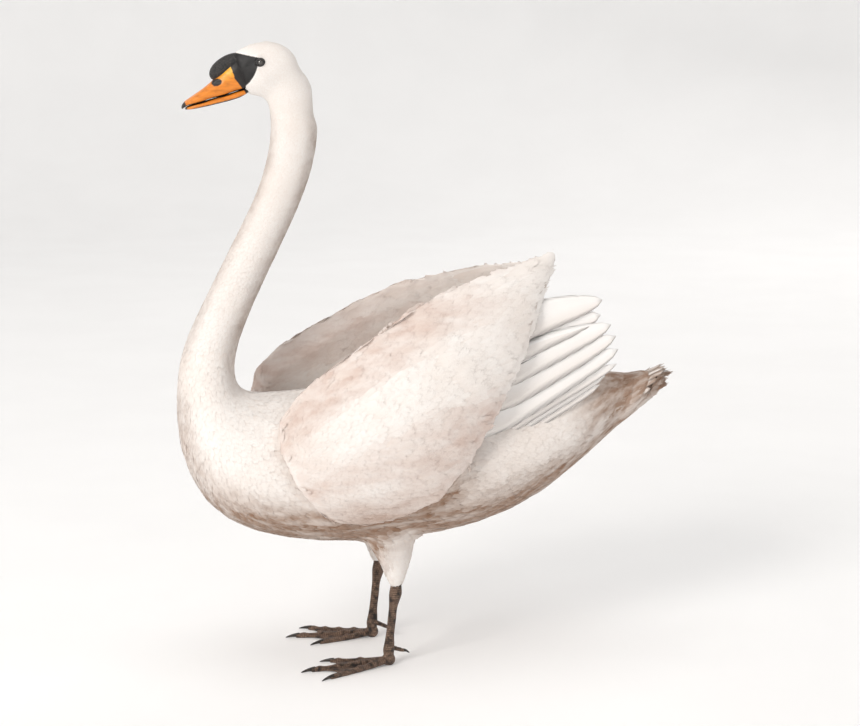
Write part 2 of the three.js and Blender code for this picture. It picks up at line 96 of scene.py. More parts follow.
class Sheet:
    def __init__(self, tree):
        self.tree = tree
        self.last = None

    def add(self, kind, settings=None, sockets=None, out=0):
        node = self.tree.nodes.new(kind)
        for key, value in (settings or {}).items():
            setattr(node, key, value)
        for key, value in (sockets or {}).items():
            target = node.inputs[key]
            if isinstance(value, Wire):
                self.tree.links.new(value.socket, target)
            else:
                target.default_value = value
        self.last = node
        return Wire(self, node.outputs[out]) if node.outputs else None

    def mixed(self, factor, first, second):
        return self.add("ShaderNodeMix", {"data_type": "RGBA"}, {0: factor, 6: first, 7: second}, out=2)

    def noise(self, place, scale, detail=2.0, roughness=0.5):
        sockets = {"Vector": place, "Scale": scale, "Detail": detail, "Roughness": roughness}
        return self.add("ShaderNodeTexNoise", None, sockets)

    def axes(self, vector, *chosen):
        return [self.add("ShaderNodeSeparateXYZ", None, {0: vector}, out=axis) for axis in chosen]

    def vectors(self, operation, first, second=None, out=0):
        # out is 1 where the answer is a number
        sockets = {0: first} if second is None else {0: first, 1: second}
        return self.add("ShaderNodeVectorMath", {"operation": operation}, sockets, out=out)


def rgb(red, green, blue):
    return (red, green, blue, 1.0)


class Finish(Sheet):
    # a material whose Principled shader takes constants at once and varied values from wires
    def __init__(self, name, **constants):
        self.material = bpy.data.materials.new(name)
        self.material.use_nodes = True
        super().__init__(self.material.node_tree)
        self.tree.nodes.clear()
        shader = self.add("ShaderNodeBsdfPrincipled")
        self.shader = self.last
        self.add("ShaderNodeOutputMaterial", None, {"Surface": shader})
        for key, value in constants.items():
            self.shader.inputs[key.replace("_", " ")].default_value = value
        self.place = self.add("ShaderNodeTexCoord", out="Object")
        self.x, self.y, self.z = self.axes(self.place, 0, 1, 2)

    def feed(self, socket, wire):
        self.tree.links.new(wire.socket, self.shader.inputs[socket])

    def bump(self, height, distance, strength=1.0):
        sockets = {"Height": height, "Distance": distance, "Strength": strength}
        self.feed("Normal", self.add("ShaderNodeBump", None, sockets))

    def stretched(self, scale):
        # the object's own coordinates, scaled by axis
        return self.add("ShaderNodeMapping", None, {"Vector": self.place, "Scale": scale})

    def number(self, attribute):
        return self.add("ShaderNodeAttribute", {"attribute_name": attribute}, out=2)

    def vaneAxes(self):
        # a feather's own coordinates: across, from -1 to 1, and along, from 0 at its root to 1
        return self.axes(self.add("ShaderNodeAttribute", {"attribute_name": "vane"}, out=1), 0, 1)


# meshes
def newObject(name, data):
    made = bpy.data.objects.new(name, data)
    scene.collection.objects.link(made)
    return made


def newMesh(name, bm, outwards=False):
    # turns a bmesh into a mesh, with its faces made to point outwards where that is asked for
    if outwards:
        bmesh.ops.recalc_face_normals(bm, faces=bm.faces)
    mesh = bpy.data.meshes.new(name)
    bm.to_mesh(mesh)
    bm.free()
    return mesh


def triangleCount(mesh):
    return sum(len(p.vertices) - 2 for p in mesh.polygons)


def addPiece(name, mesh, material, replaced=()):
    piece = newObject(name, mesh)
    mesh.materials.clear()
    mesh.materials.append(material)
    mesh.polygons.foreach_set("use_smooth", [True] * len(mesh.polygons))
    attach(piece, "root")
    if replaced:
        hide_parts(*replaced)


def evaluatedMesh(temporary):
    bpy.context.view_layer.update()
    graph = bpy.context.evaluated_depsgraph_get()
    return bpy.data.meshes.new_from_object(temporary.evaluated_get(graph))


def mergedNodes(names, grow=0.0, added=None):
    # a joined copy of CAD nodes with their doubles merged, pushed out a little so that gaps close
    bm = bmesh.new()
    for name in names:
        bm.from_mesh(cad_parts[name].data)
    bmesh.ops.remove_doubles(bm, verts=bm.verts, dist=1e-6)
    bm.normal_update()
    for vert, normal in [(vert, vert.normal.copy()) for vert in bm.verts]:
        vert.co += normal * grow
    if added:
        bm.from_mesh(added)
    return newMesh("merged", bm)


def coordinates(mesh):
    co = np.empty(len(mesh.vertices) * 3)
    mesh.vertices.foreach_get("co", co)
    return co.reshape(-1, 3)


def vertexNormals(mesh):
    normals = np.empty(len(mesh.vertices) * 3)
    mesh.vertex_normals.foreach_get("vector", normals)
    return normals.reshape(-1, 3)


def setCoordinates(mesh, co):
    mesh.vertices.foreach_set("co", np.ascontiguousarray(co, dtype=np.float32).ravel())
    mesh.update()


def spread(mesh, values, steps, amount=0.5):
    # repeated averaging of values over the mesh's edges
    edges = np.empty(len(mesh.edges) * 2, dtype=np.int64)
    mesh.edges.foreach_get("vertices", edges)
    first, second = edges.reshape(-1, 2).T
    count = len(mesh.vertices)
    links = np.bincount(first, minlength=count) + np.bincount(second, minlength=count)
    values = values.reshape(count, -1).copy()
    for _ in range(steps):
        for column in values.T:
            total = np.bincount(first, column[second], count) + np.bincount(second, column[first], count)
            column += (total / links - column) * amount
    return values


def remeshed(mesh, voxel):
    # one even, closed surface round all that a mesh holds
    temporary = newObject("temporary", mesh)
    remesh = temporary.modifiers.new("Remesh", "REMESH")
    remesh.mode = "VOXEL"
    remesh.voxel_size = voxel
    even = evaluatedMesh(temporary)
    bpy.data.objects.remove(temporary)
    return even


def softCopy(names, grow, voxel, smoothSteps, added=None):
    # CAD nodes closed into one even, smooth mesh, with anything that is added to them
    mesh = remeshed(mergedNodes(names, grow, added), voxel)
    setCoordinates(mesh, spread(mesh, coordinates(mesh), smoothSteps))
    return mesh


def surfaceTree(mesh):
    corners = [tuple(v.co) for v in mesh.vertices]
    return BVHTree.FromPolygons(corners, [tuple(p.vertices) for p in mesh.polygons])


def settle(mesh, names, depth, evenSteps, added=None):
    # moves a smoothed mesh to a given depth inside the CAD nodes; depth is one number for each vertex
    tree = surfaceTree(mergedNodes(names, added=added))
    co, normals = coordinates(mesh), vertexNormals(mesh)
    gap = np.empty(len(co))
    for i, (point, normal) in enumerate(zip(co, normals)):
        nearest, _, _, distance = tree.find_nearest(Vector(point))
        side = (Vector(point) - nearest).dot(Vector(normal))
        gap[i] = -distance if side > 0 else distance
    move = spread(mesh, gap - depth, evenSteps)
    setCoordinates(mesh, co + normals * move)


def unitSteps(count):
    return [k / count for k in range(count + 1)]


def unwrapped(mesh):
    # a bake map from an unwrap of the shape itself
    temporary = newObject("temporary", mesh)
    mesh.uv_layers.new(name="OFBake")
    bpy.context.view_layer.objects.active = temporary
    temporary.select_set(True)
    bpy.ops.object.mode_set(mode="EDIT")
    bpy.ops.mesh.select_all(action="SELECT")
    bpy.ops.uv.smart_project(angle_limit=math.radians(66), island_margin=0.004)
    bpy.ops.object.mode_set(mode="OBJECT")
    bpy.data.objects.remove(temporary)
    return mesh


def joinedMesh(name, meshes):
    bm = bmesh.new()
    for mesh in meshes:
        bm.from_mesh(mesh)
    return newMesh(name, bm)


def addRows(bm, rings, closed=False):
    # closed rings of points with faces from each to the next, and from the last to the first where closed
    rows = [[bm.verts.new(point) for point in ring] for ring in rings]
    around = len(rings[0])
    for one, other in zip(rows, rows[1:] + rows[:closed]):
        for k in range(around):
            n = (k + 1) % around
            bm.faces.new((one[k], one[n], other[n], other[k]))
    return rows


def loftedMesh(name, rings):
    # rings joined into a skin, with a fan of faces at both ends
    bm = bmesh.new()
    rows = addRows(bm, rings)
    around = len(rings[0])
    for row in (rows[0], rows[-1]):
        middle = bm.verts.new(sum((v.co for v in row), Vector()) / around)
        for k in range(around):
            bm.faces.new((row[k], row[(k + 1) % around], middle))
    return newMesh(name, bm, outwards=True)


def smoothStep(values, low, high):
    t = np.clip((values - low) / (high - low), 0, 1)
    return t * t * (3 - 2 * t)


# camera, light and floor
view = {
    "azimuth": math.radians(80), "elevation": math.radians(10), "distance": 3.2,
    "target": Vector((0, 0.00453, 0.470455)), "lens": 84.3, "farEnd": 50,
}


def addCamera():
    azimuth, elevation = view["azimuth"], view["elevation"]
    flat = math.cos(elevation)
    back = Vector((math.sin(azimuth) * flat, -math.cos(azimuth) * flat, math.sin(elevation)))
    data = bpy.data.cameras.new("camera")
    data.lens = view["lens"]
    data.clip_end = view["farEnd"]
    camera = newObject("camera", data)
    camera.location = view["target"] + back * view["distance"]
    camera.rotation_euler = back.to_track_quat("Z", "Y").to_euler()
    scene.camera = camera


lights = {
    "key": {"at": (4.6, -5.0, 4.4), "size": 2.6, "power": 305, "colour": (1.0, 0.965, 0.925)},
    "top": {"at": (0.4, -0.6, 6.6), "size": 5.0, "power": 120, "colour": (1.0, 0.985, 0.97)},
    "back": {"at": (-5.0, 3.6, 3.6), "size": 4.0, "power": 75, "colour": (1.0, 0.97, 0.95)},
}
lampAim = Vector((0, 0, 0.45))  # the middle of the bird
roomLight = {"Color": rgb(1.0, 0.975, 0.955), "Strength": 0.30}


def addLights():
    for name, light in lights.items():
        data = bpy.data.lights.new(name, "AREA")
        data.size = light["size"]
        data.energy = light["power"]
        data.color = light["colour"]
        lamp = newObject(name, data)
        lamp.location = light["at"]
        lamp.rotation_euler = (lampAim - lamp.location).to_track_quat("-Z", "Y").to_euler()
    world = bpy.data.worlds.new("studio")
    world.use_nodes = True
    for socket, value in roomLight.items():
        world.node_tree.nodes["Background"].inputs[socket].default_value = value
    scene.world = world
    scene.view_settings.view_transform = "Standard"


studio = {
    "inner": 2.0, "radius": 6.0, "bend": 2.5, "height": 7.0, "bendSteps": 12, "around": 96,
    "dark": rgb(0.84, 0.84, 0.84), "pale": rgb(0.86, 0.86, 0.86), "glow": 0.13,
}


def addFloor():
    # a round pale floor that bends up into a wall
    radius, bend = studio["radius"], studio["bend"]
    profile = [(0.0, 0.0), (studio["inner"], 0.0), (radius, 0.0)]
    for k in range(1, studio["bendSteps"] + 1):
        angle = k / studio["bendSteps"] * math.pi / 2
        profile.append((radius + bend * math.sin(angle), bend * (1 - math.cos(angle))))
    profile.append((radius + bend, studio["height"]))
    bm = bmesh.new()
    verts = [bm.verts.new((r, 0, z)) for r, z in profile]
    edges = [bm.edges.new(pair) for pair in zip(verts, verts[1:])]
    bmesh.ops.spin(
        bm, geom=verts + edges, axis=(0, 0, 1), cent=(0, 0, 0),
        steps=studio["around"], angle=2 * math.pi, use_merge=True,
    )
    bmesh.ops.remove_doubles(bm, verts=bm.verts, dist=1e-4)
    mesh = newMesh("floor", bm)
    mesh.polygons.foreach_set("use_smooth", [True] * len(mesh.polygons))
    paint = Finish(
        "pale_floor", Roughness=0.9, Emission_Color=rgb(1, 1, 1), Emission_Strength=studio["glow"]
    )
    grain = paint.noise(paint.place, 3.0).ramp(0.3, 0.7)
    paint.feed("Base Color", paint.mixed(grain, studio["dark"], studio["pale"]))
    mesh.materials.append(paint.material)
    newObject("floor", mesh)


addCamera()
addLights()
addFloor()
print("camera, light and floor are set")


# where things lie on the bird
headFrame = {"y": -0.261, "z": 0.945, "turn": math.radians(18.5)}  # the eyes' middle; the bill points down


def headPoint(x, u, v):
    # u runs forwards along the bill and v upwards, both in mm from the eyes' middle
    turn = headFrame["turn"]
    y = headFrame["y"] - (u * math.cos(turn) + v * math.sin(turn)) * mm
    z = headFrame["z"] - (u * math.sin(turn) - v * math.cos(turn)) * mm
    return Vector((x * mm, y, z))


def headPlace(y, z):
    # the same the other way round, for numbers, arrays and wires
    turn = headFrame["turn"]
    ahead, above = (headFrame["y"] - y) * 1000, (z - headFrame["z"]) * 1000
    u = ahead * math.cos(turn) - above * math.sin(turn)
    v = ahead * math.sin(turn) + above * math.cos(turn)
    return u, v


bareFace = {
    "edgeHeight": 6.9, "edgeSlope": 0.6, "edgeLean": 0.86,  # upper edge, from over the eye to the forehead
    "cheekLow": -37.8, "cheekRise": 42.5, "cheekFall": 23.0, "cheekLean": 0.75,  # a curve from eye to gape
    "back": 4,  # behind the eye's middle
    "ring": 5.9,  # black skin round the eye
}


def bareEdges(u, v, exp):
    # how far a point of the side view lies inside each edge of the bare skin, in mm
    upper = ((u + 1) * bareFace["edgeSlope"] + bareFace["edgeHeight"] - v) * bareFace["edgeLean"]
    fall = exp(u * (-1 / bareFace["cheekFall"]))
    lower = (v - bareFace["cheekLow"] - fall * bareFace["cheekRise"]) * bareFace["cheekLean"]
    ring = bareFace["ring"] - (u * u + v * v) ** 0.5
    return upper, lower, u + bareFace["back"], ring


def bareFaceDepth(u, v):
    upper, lower, back, ring = bareEdges(u, v, np.exp)
    return np.maximum(np.minimum(np.minimum(upper, lower), back), ring)


spine = [  # the way the feathers lie, from the forehead over the nape to the tail: y, z
    (-0.320, 0.925), (-0.262, 0.948), (-0.222, 0.925), (-0.209, 0.876), (-0.210, 0.838), (-0.218, 0.787),
    (-0.236, 0.732), (-0.262, 0.677), (-0.290, 0.621), (-0.318, 0.563), (-0.342, 0.506), (-0.350, 0.450),
    (-0.335, 0.385), (-0.280, 0.335), (-0.190, 0.315), (-0.070, 0.318), (0.040, 0.325), (0.150, 0.344),
    (0.235, 0.375), (0.300, 0.410), (0.400, 0.455),
]


legPlace = {"x": 0.072, "half": 0.034, "y": -0.07, "reach": 0.06}  # where the feathered legs leave the body


def nearLegs(y):
    return np.abs(y - legPlace["y"]) < legPlace["reach"]


def lieOf(co, normals):
    # the direction of the coat at each vertex: along the spine, and down the legs
    path = np.array(spine)
    ends, starts = path[1:], path[:-1]
    runs = ends - starts
    flat = co[:, 1:]
    share = ((flat[:, None] - starts) * runs).sum(2) / (runs ** 2).sum(1)
    share = np.clip(share, 0, 1)
    foot = starts + share[..., None] * runs
    nearest = np.argmin(((flat[:, None] - foot) ** 2).sum(2), axis=1)
    lie = np.zeros_like(co)
    lie[:, 1:] = (runs / np.linalg.norm(runs, axis=1)[:, None])[nearest]
    legs = smoothStep(0.225 - co[:, 2], 0, 0.03) * nearLegs(co[:, 1])
    downTheLeg = np.array([0, 0.15, -1.0])
    lie = lie * (1 - legs)[:, None] + downTheLeg * legs[:, None]
    lie -= normals * (lie * normals).sum(1)[:, None]
    return lie


def storeVectors(mesh, name, values):
    layer = mesh.attributes.new(name, "FLOAT_VECTOR", "POINT")
    layer.data.foreach_set("vector", np.ascontiguousarray(values, dtype=np.float32).ravel())


def storeNumbers(mesh, name, values):
    layer = mesh.attributes.new(name, "FLOAT", "POINT")
    layer.data.foreach_set("value", np.ascontiguousarray(values, dtype=np.float32))


# skin
skinShape = {
    "voxel": 6.0 * mm,
    "closing": 0.7 * mm,  # the nodes are pushed out by this, so that the cuts between them close
    "softSteps": 22,
    "head": 1.6 * mm, "neck": 2.6 * mm, "body": 5 * mm, "legs": 2.2 * mm,  # depth under the coat
    "rump": 2 * mm, "wings": 1.3 * mm,
    "headFiner": 2, "finerFrom": 0.875, "finerStep": 0.012,  # rounds of subdivision, each from higher up
    "socket": 4.6, "socketDepth": 2.0, "brow": 1.5, "cheek": 1.2, "lores": 1.2,  # mm
}
wingNodes = ["wing_left_coverts", "wing_right_coverts"]
fleshNodes = [
    "head", "neck_upper", "neck_middle", "neck_lower", "trunk", "thigh_left", "thigh_right", *wingNodes,
]
wingSurface = surfaceTree(mergedNodes(wingNodes))


def coatDepth(co):
    # how deep the skin lies: the neck's depth, blended in turn into that of each other part
    _, y, z = co.T
    shares = {
        "body": smoothStep(-z, -0.52, -0.38),
        "head": smoothStep(z, 0.84, 0.90) * (y < -0.15),
        "rump": smoothStep(y, 0.29, 0.34),
        "legs": smoothStep(-z, -0.215, -0.18) * nearLegs(y),
        "wings": smoothStep(y * 0.79 + z * 0.62, 0.30, 0.42) * smoothStep(y, -0.2, -0.1) * (z > 0.40),
    }
    depth = skinShape["neck"]
    for part, share in shares.items():
        depth = depth + (skinShape[part] - depth) * share
    return depth


def finerHead(mesh):
    bm = bmesh.new()
    bm.from_mesh(mesh)
    for step in range(skinShape["headFiner"]):
        low = skinShape["finerFrom"] + skinShape["finerStep"] * step
        middles = [(face, face.calc_center_median()) for face in bm.faces]
        faces = [face for face, middle in middles if middle.z > low and middle.y < -0.18]
        edges = {edge for face in faces for edge in face.edges}
        bmesh.ops.subdivide_edges(bm, edges=list(edges), cuts=1, use_grid_fill=True, smooth=0.6)
    bmesh.ops.triangulate(bm, faces=[f for f in bm.faces if len(f.verts) > 4])
    bm.to_mesh(mesh)
    bm.free()


def shapeFace(mesh):
    # eye sockets, brows, cheeks and the hollow before the eye
    co, normals = coordinates(mesh), vertexNormals(mesh)
    u, v = headPlace(co[:, 1], co[:, 2])
    side = np.abs(normals[:, 0]) ** 0.5 * (co[:, 2] > 0.85) * (co[:, 1] < -0.15)
    border = -skinShape["socket"]
    push = -skinShape["socketDepth"] * smoothStep(-np.hypot(u, v), border - 2.5, border + 1)
    # each form: how far it is pushed out, its middle and its reach along u and v
    forms = [
        (skinShape["brow"], -1, 9, 10, 4),
        (skinShape["cheek"], 2, 13, -24, 11),
        (-skinShape["lores"], 16, 8, 1, 6),
    ]
    for amount, u0, uReach, v0, vReach in forms:
        push = push + amount * np.exp(-((u - u0) / uReach) ** 2 - ((v - v0) / vReach) ** 2)
    setCoordinates(mesh, co + normals * (push * side * mm)[:, None])


tailRoot = [  # the wedge that carries the tail: y, lowest z, highest z, half width
    (0.250, 0.325, 0.430, 0.044), (0.280, 0.340, 0.437, 0.046), (0.305, 0.356, 0.441, 0.046),
    (0.325, 0.374, 0.444, 0.044), (0.342, 0.392, 0.447, 0.040), (0.356, 0.409, 0.449, 0.034),
    (0.368, 0.426, 0.449, 0.024),
]


def tailWedge():
    rings, around, arch = [], 20, 9
    for y, low, high, half in tailRoot:
        angles = [2 * math.pi * k / around for k in range(around)]
        spots = [(half * math.cos(a), (low + high) / 2 + (high - low) / 2 * math.sin(a)) for a in angles]
        rings.append([Vector((x, y, z - arch * x * x)) for x, z in spots])
    return loftedMesh("tail_wedge", rings)


def makeSkin():
    wedge = tailWedge()
    mesh = softCopy(fleshNodes, skinShape["closing"], skinShape["voxel"], skinShape["softSteps"], wedge)
    settle(mesh, fleshNodes, coatDepth(coordinates(mesh)), 12, wedge)
    finerHead(mesh)
    setCoordinates(mesh, spread(mesh, coordinates(mesh), 3, 0.4))
    co = coordinates(mesh)
    _, y, z = co.T
    nape = smoothStep(z, 0.84, 0.87) * smoothStep(-z, -0.955, -0.93) * smoothStep(y, -0.245, -0.225)
    setCoordinates(mesh, co + (spread(mesh, co, 60) - co) * nape[:, None])
    shapeFace(mesh)
    unwrapped(mesh)
    normals = vertexNormals(mesh)
    storeVectors(mesh, "up", spread(mesh, normals, 4))
    storeVectors(mesh, "lie", lieOf(coordinates(mesh), normals))
    print("skin:", len(mesh.vertices), "vertices")
    return mesh


# colours shared by skin and feathers
stainAndShadeAmounts = {  # the most brown on each part: staining with painted shade under the belly, painted shade on the other parts; the last is painted shadow on the body next to a wing's edge
    "under": 1.25, "nape": 0.68, "throat": 0.46, "breast": 0.58, "tail": 1.2, "legs": 0.42, "wingShadow": 0.52,
}
plumageColours = {
    "white": rgb(0.88, 0.845, 0.815),
    "cream": rgb(0.76, 0.665, 0.60),
    "rosy_shade": rgb(0.62, 0.48, 0.42),  # painted shade in soft bands and along the edges on the wings
    "shade": rgb(0.27, 0.155, 0.095),  # the stained underside, and painted shade along the contours, beside the wings and at the tail
    "flight": rgb(0.985, 0.98, 0.97),
    "bare": rgb(0.012, 0.011, 0.011),
}


def plumageColour(paint):
    # white, creamy in soft patches, rosy painted shade on the wings, brown for staining and painted shade
    # under the belly, along the contours and at the tail's end
    patches = paint.noise(paint.stretched((9, 6, 9)), 1.0, 3.0).ramp(0.38, 0.72)
    colour = paint.mixed(patches * 0.45, plumageColours["white"], plumageColours["cream"])
    stain_and_shade, rosy_shade = paint.number("stain_and_shade"), paint.number("rosy_shade")
    x, y, z = paint.x, paint.y, paint.z
    # streaks run along the body, and behind the wings they rise with the tail
    rising = {0: x * 70, 1: (y * 0.85 + z * 0.52) * 11, 2: (z * 0.85 - y * 0.52) * 75}
    rising = paint.noise(paint.add("ShaderNodeCombineXYZ", None, rising), 1.0, 3.0)
    streaks = paint.noise(paint.stretched((90, 14, 60)), 1.0, 3.0)
    behind = y.ramp(0.04, 0.14)
    streaks = (streaks + (rising - streaks) * behind).ramp(0.25, 0.75, 0.45, 1.1)
    # painted shade: rosy in bands on the wings, then brown for the belly's staining and for painted shade
    # along the contours, beside the wings and at the tail
    colour = paint.mixed(rosy_shade * streaks, colour, plumageColours["rosy_shade"])
    return paint.mixed(stain_and_shade * streaks, colour, plumageColours["shade"])


def stainedAndShaded(mesh):
    # how brown each place is: stain and painted shade under the body, painted shade at the edges of the
    # neck,
    # breast and thighs, painted shadow on the tail under the flight feathers and on the body beside the
    # wings
    co, normals = coordinates(mesh), vertexNormals(mesh)
    _, y, z = co.T
    ahead, behind, low = -normals[:, 1], normals[:, 1], -normals[:, 2]
    body = smoothStep(z, 0.165, 0.20) * smoothStep(-z, -0.49, -0.42)
    neck = smoothStep(z, 0.44, 0.56) * smoothStep(-z, -0.89, -0.83)
    edges = stainAndShadeAmounts["nape"] * smoothStep(behind, 0.20, 0.95) + stainAndShadeAmounts["throat"] * smoothStep(ahead, 0.50, 1.0)
    aboveKeel = z - 0.318 - 0.56 * (y - 0.17)
    away = np.array([wingSurface.find_nearest(Vector(point))[3] for point in co])
    shares = np.stack([
        stainAndShadeAmounts["under"] * (smoothStep(low, -0.25, 0.75) ** 1.3 * body),
        neck * edges,
        stainAndShadeAmounts["breast"] * smoothStep(ahead, 0.52, 0.98) * smoothStep(-z, -0.56, -0.44) * body,
        stainAndShadeAmounts["tail"] * (smoothStep(y, 0.17, 0.29) * smoothStep(aboveKeel, -0.022, 0.006)),
        stainAndShadeAmounts["legs"] * smoothStep(-z, -0.21, -0.19) * smoothStep(np.abs(behind), 0.3, 0.95),
        stainAndShadeAmounts["wingShadow"] * (1 - smoothStep(away, 0.004, 0.034)) * (z < 0.44),
    ])
    storeNumbers(mesh, "stain_and_shade", spread(mesh, shares.max(0)[:, None], 3)[:, 0])


def bareMask(paint):
    u, v = headPlace(paint.y, paint.z)
    upper, lower, back, ring = bareEdges(u, v, Wire.exp)
    inside = upper.atMost(lower).atMost(back).atLeast(ring)
    frayed = inside + (paint.noise(paint.place, 900.0, 3.0) - 0.5) * 2.2
    return frayed.ramp(-0.5, 0.9) * paint.z.ramp(0.85, 0.87) * paint.y.ramp(-0.235, -0.245)


def skinFinish():
    paint = Finish("skin_and_bare_face", Specular_IOR_Level=0.4)
    bare = bareMask(paint)
    paint.feed("Base Color", paint.mixed(bare, plumageColour(paint), plumageColours["bare"]))
    paint.feed("Roughness", bare * -0.42 + 0.88)
    grain = paint.noise(paint.place, 1400.0, 4.0) + paint.noise(paint.place, 420.0, 2.0)
    paint.bump(grain, 0.0006, 0.5)
    return paint.material


def featherFinish(name, flight=False):
    paint = Finish(name, Roughness=0.86, Specular_IOR_Level=0.25, Sheen_Weight=0.12, Sheen_Roughness=0.5)
    across, along = paint.vaneAxes()
    own = paint.number("shade")
    base = plumageColour(paint)
    # deep: painted shade where the next feather lies over it, creamier towards the root and, on flight
    # feathers, over the side that the next one covers
    if flight:
        base = paint.mixed(0.9, base, plumageColours["flight"])
        deep = across.ramp(0.2, -0.9, 0.0, 0.35) + along.ramp(0.6, 0.2, 0.0, 0.1)
    else:
        deep = along.ramp(0.7, 0.1, 0.0, 0.4)
    paint.feed("Base Color", paint.mixed(own * 0.22 + deep, base, plumageColours["cream"]))
    barbs = (abs(across) * 34 + along * 60).wave()
    shaft = abs(across).ramp(0.0, 0.12, 1.0, 0.0)
    paint.bump(barbs * 0.25 + shaft, 0.0004, 0.35)
    return paint.material


# the small feathers, scattered over the skin
def vaneMesh(name, sides, prongs, notch):
    # a closed thin vane of unit length along +Y, frayed at its tip, its border sharp
    # sides: share of the length and half width; prongs: number of points at the tip; notch: their depth
    lastShare, lastHalf = sides[-1]
    tips, spots = [], 2 * prongs - 1
    for k in range(spots):
        place = 1 - 2 * (k + 0.5) / spots
        reach = 1 - (1 - lastShare) * 0.75 * place ** 2
        depth = notch * (1 - 0.78 * place ** 2) if k % 2 else 0.2 * notch * (k % 4) * (1 - place ** 2)
        tips.append((place * lastHalf * 1.03, reach - depth))
    right = [(half, share) for share, half in sides]
    left = [(-half, share) for share, half in reversed(sides)]
    border = [(0.0, 0.0)] + right + tips + left
    count, last = len(sides), len(border)
    # the shaft's ridge is one high, and half as high where the vane starts to fray
    points = [(x, y, 0.0) for x, y in border]
    points += [(0.0, share, 0.5 if share == lastShare else 1.0) for share, _ in sides]
    faces = [(0, 1, last), (0, last, last - 1), (0, last - 1, 1)]
    for i in range(1, count):
        faces.append((i, i + 1, last + i, last + i - 1))
        faces.append((last + i - 1, last + i, last - i - 1, last - i))
        faces.append((i + 1, i, last - i, last - i - 1))
    around = list(range(count, last - count + 1))
    faces += [(one, other, last + count - 1) for one, other in zip(around, around[1:])]
    faces.append(tuple(reversed(around)))
    mesh = bpy.data.meshes.new(name)
    mesh.from_pydata([(x * 0.5, y, 0) for x, y, _ in points], [], faces)
    sharp = mesh.attributes.new("sharp_edge", "BOOLEAN", "EDGE")
    ends = [tuple(edge.vertices) for edge in mesh.edges]
    sharp.data.foreach_set("value", [abs(a - b) in (1, last - 1) and max(a, b) < last for a, b in ends])
    mesh.polygons.foreach_set("use_smooth", [True] * len(mesh.polygons))
    storeVectors(mesh, "vane", np.array(points))
    return newObject(name, mesh)


feathering = {
    "densest": 1e6,  # roots on a square metre, before the spacing thins them
    "rootSink": 0.25 * mm,  # how deep a root stands in the skin
    "steep": (0.84, 0.95),  # how far a feather's own up and the skin's may part before the drape gives way
    "mapPatch": (0.0014, 0.0028, 0.0),  # one feather's patch on the bake map
}


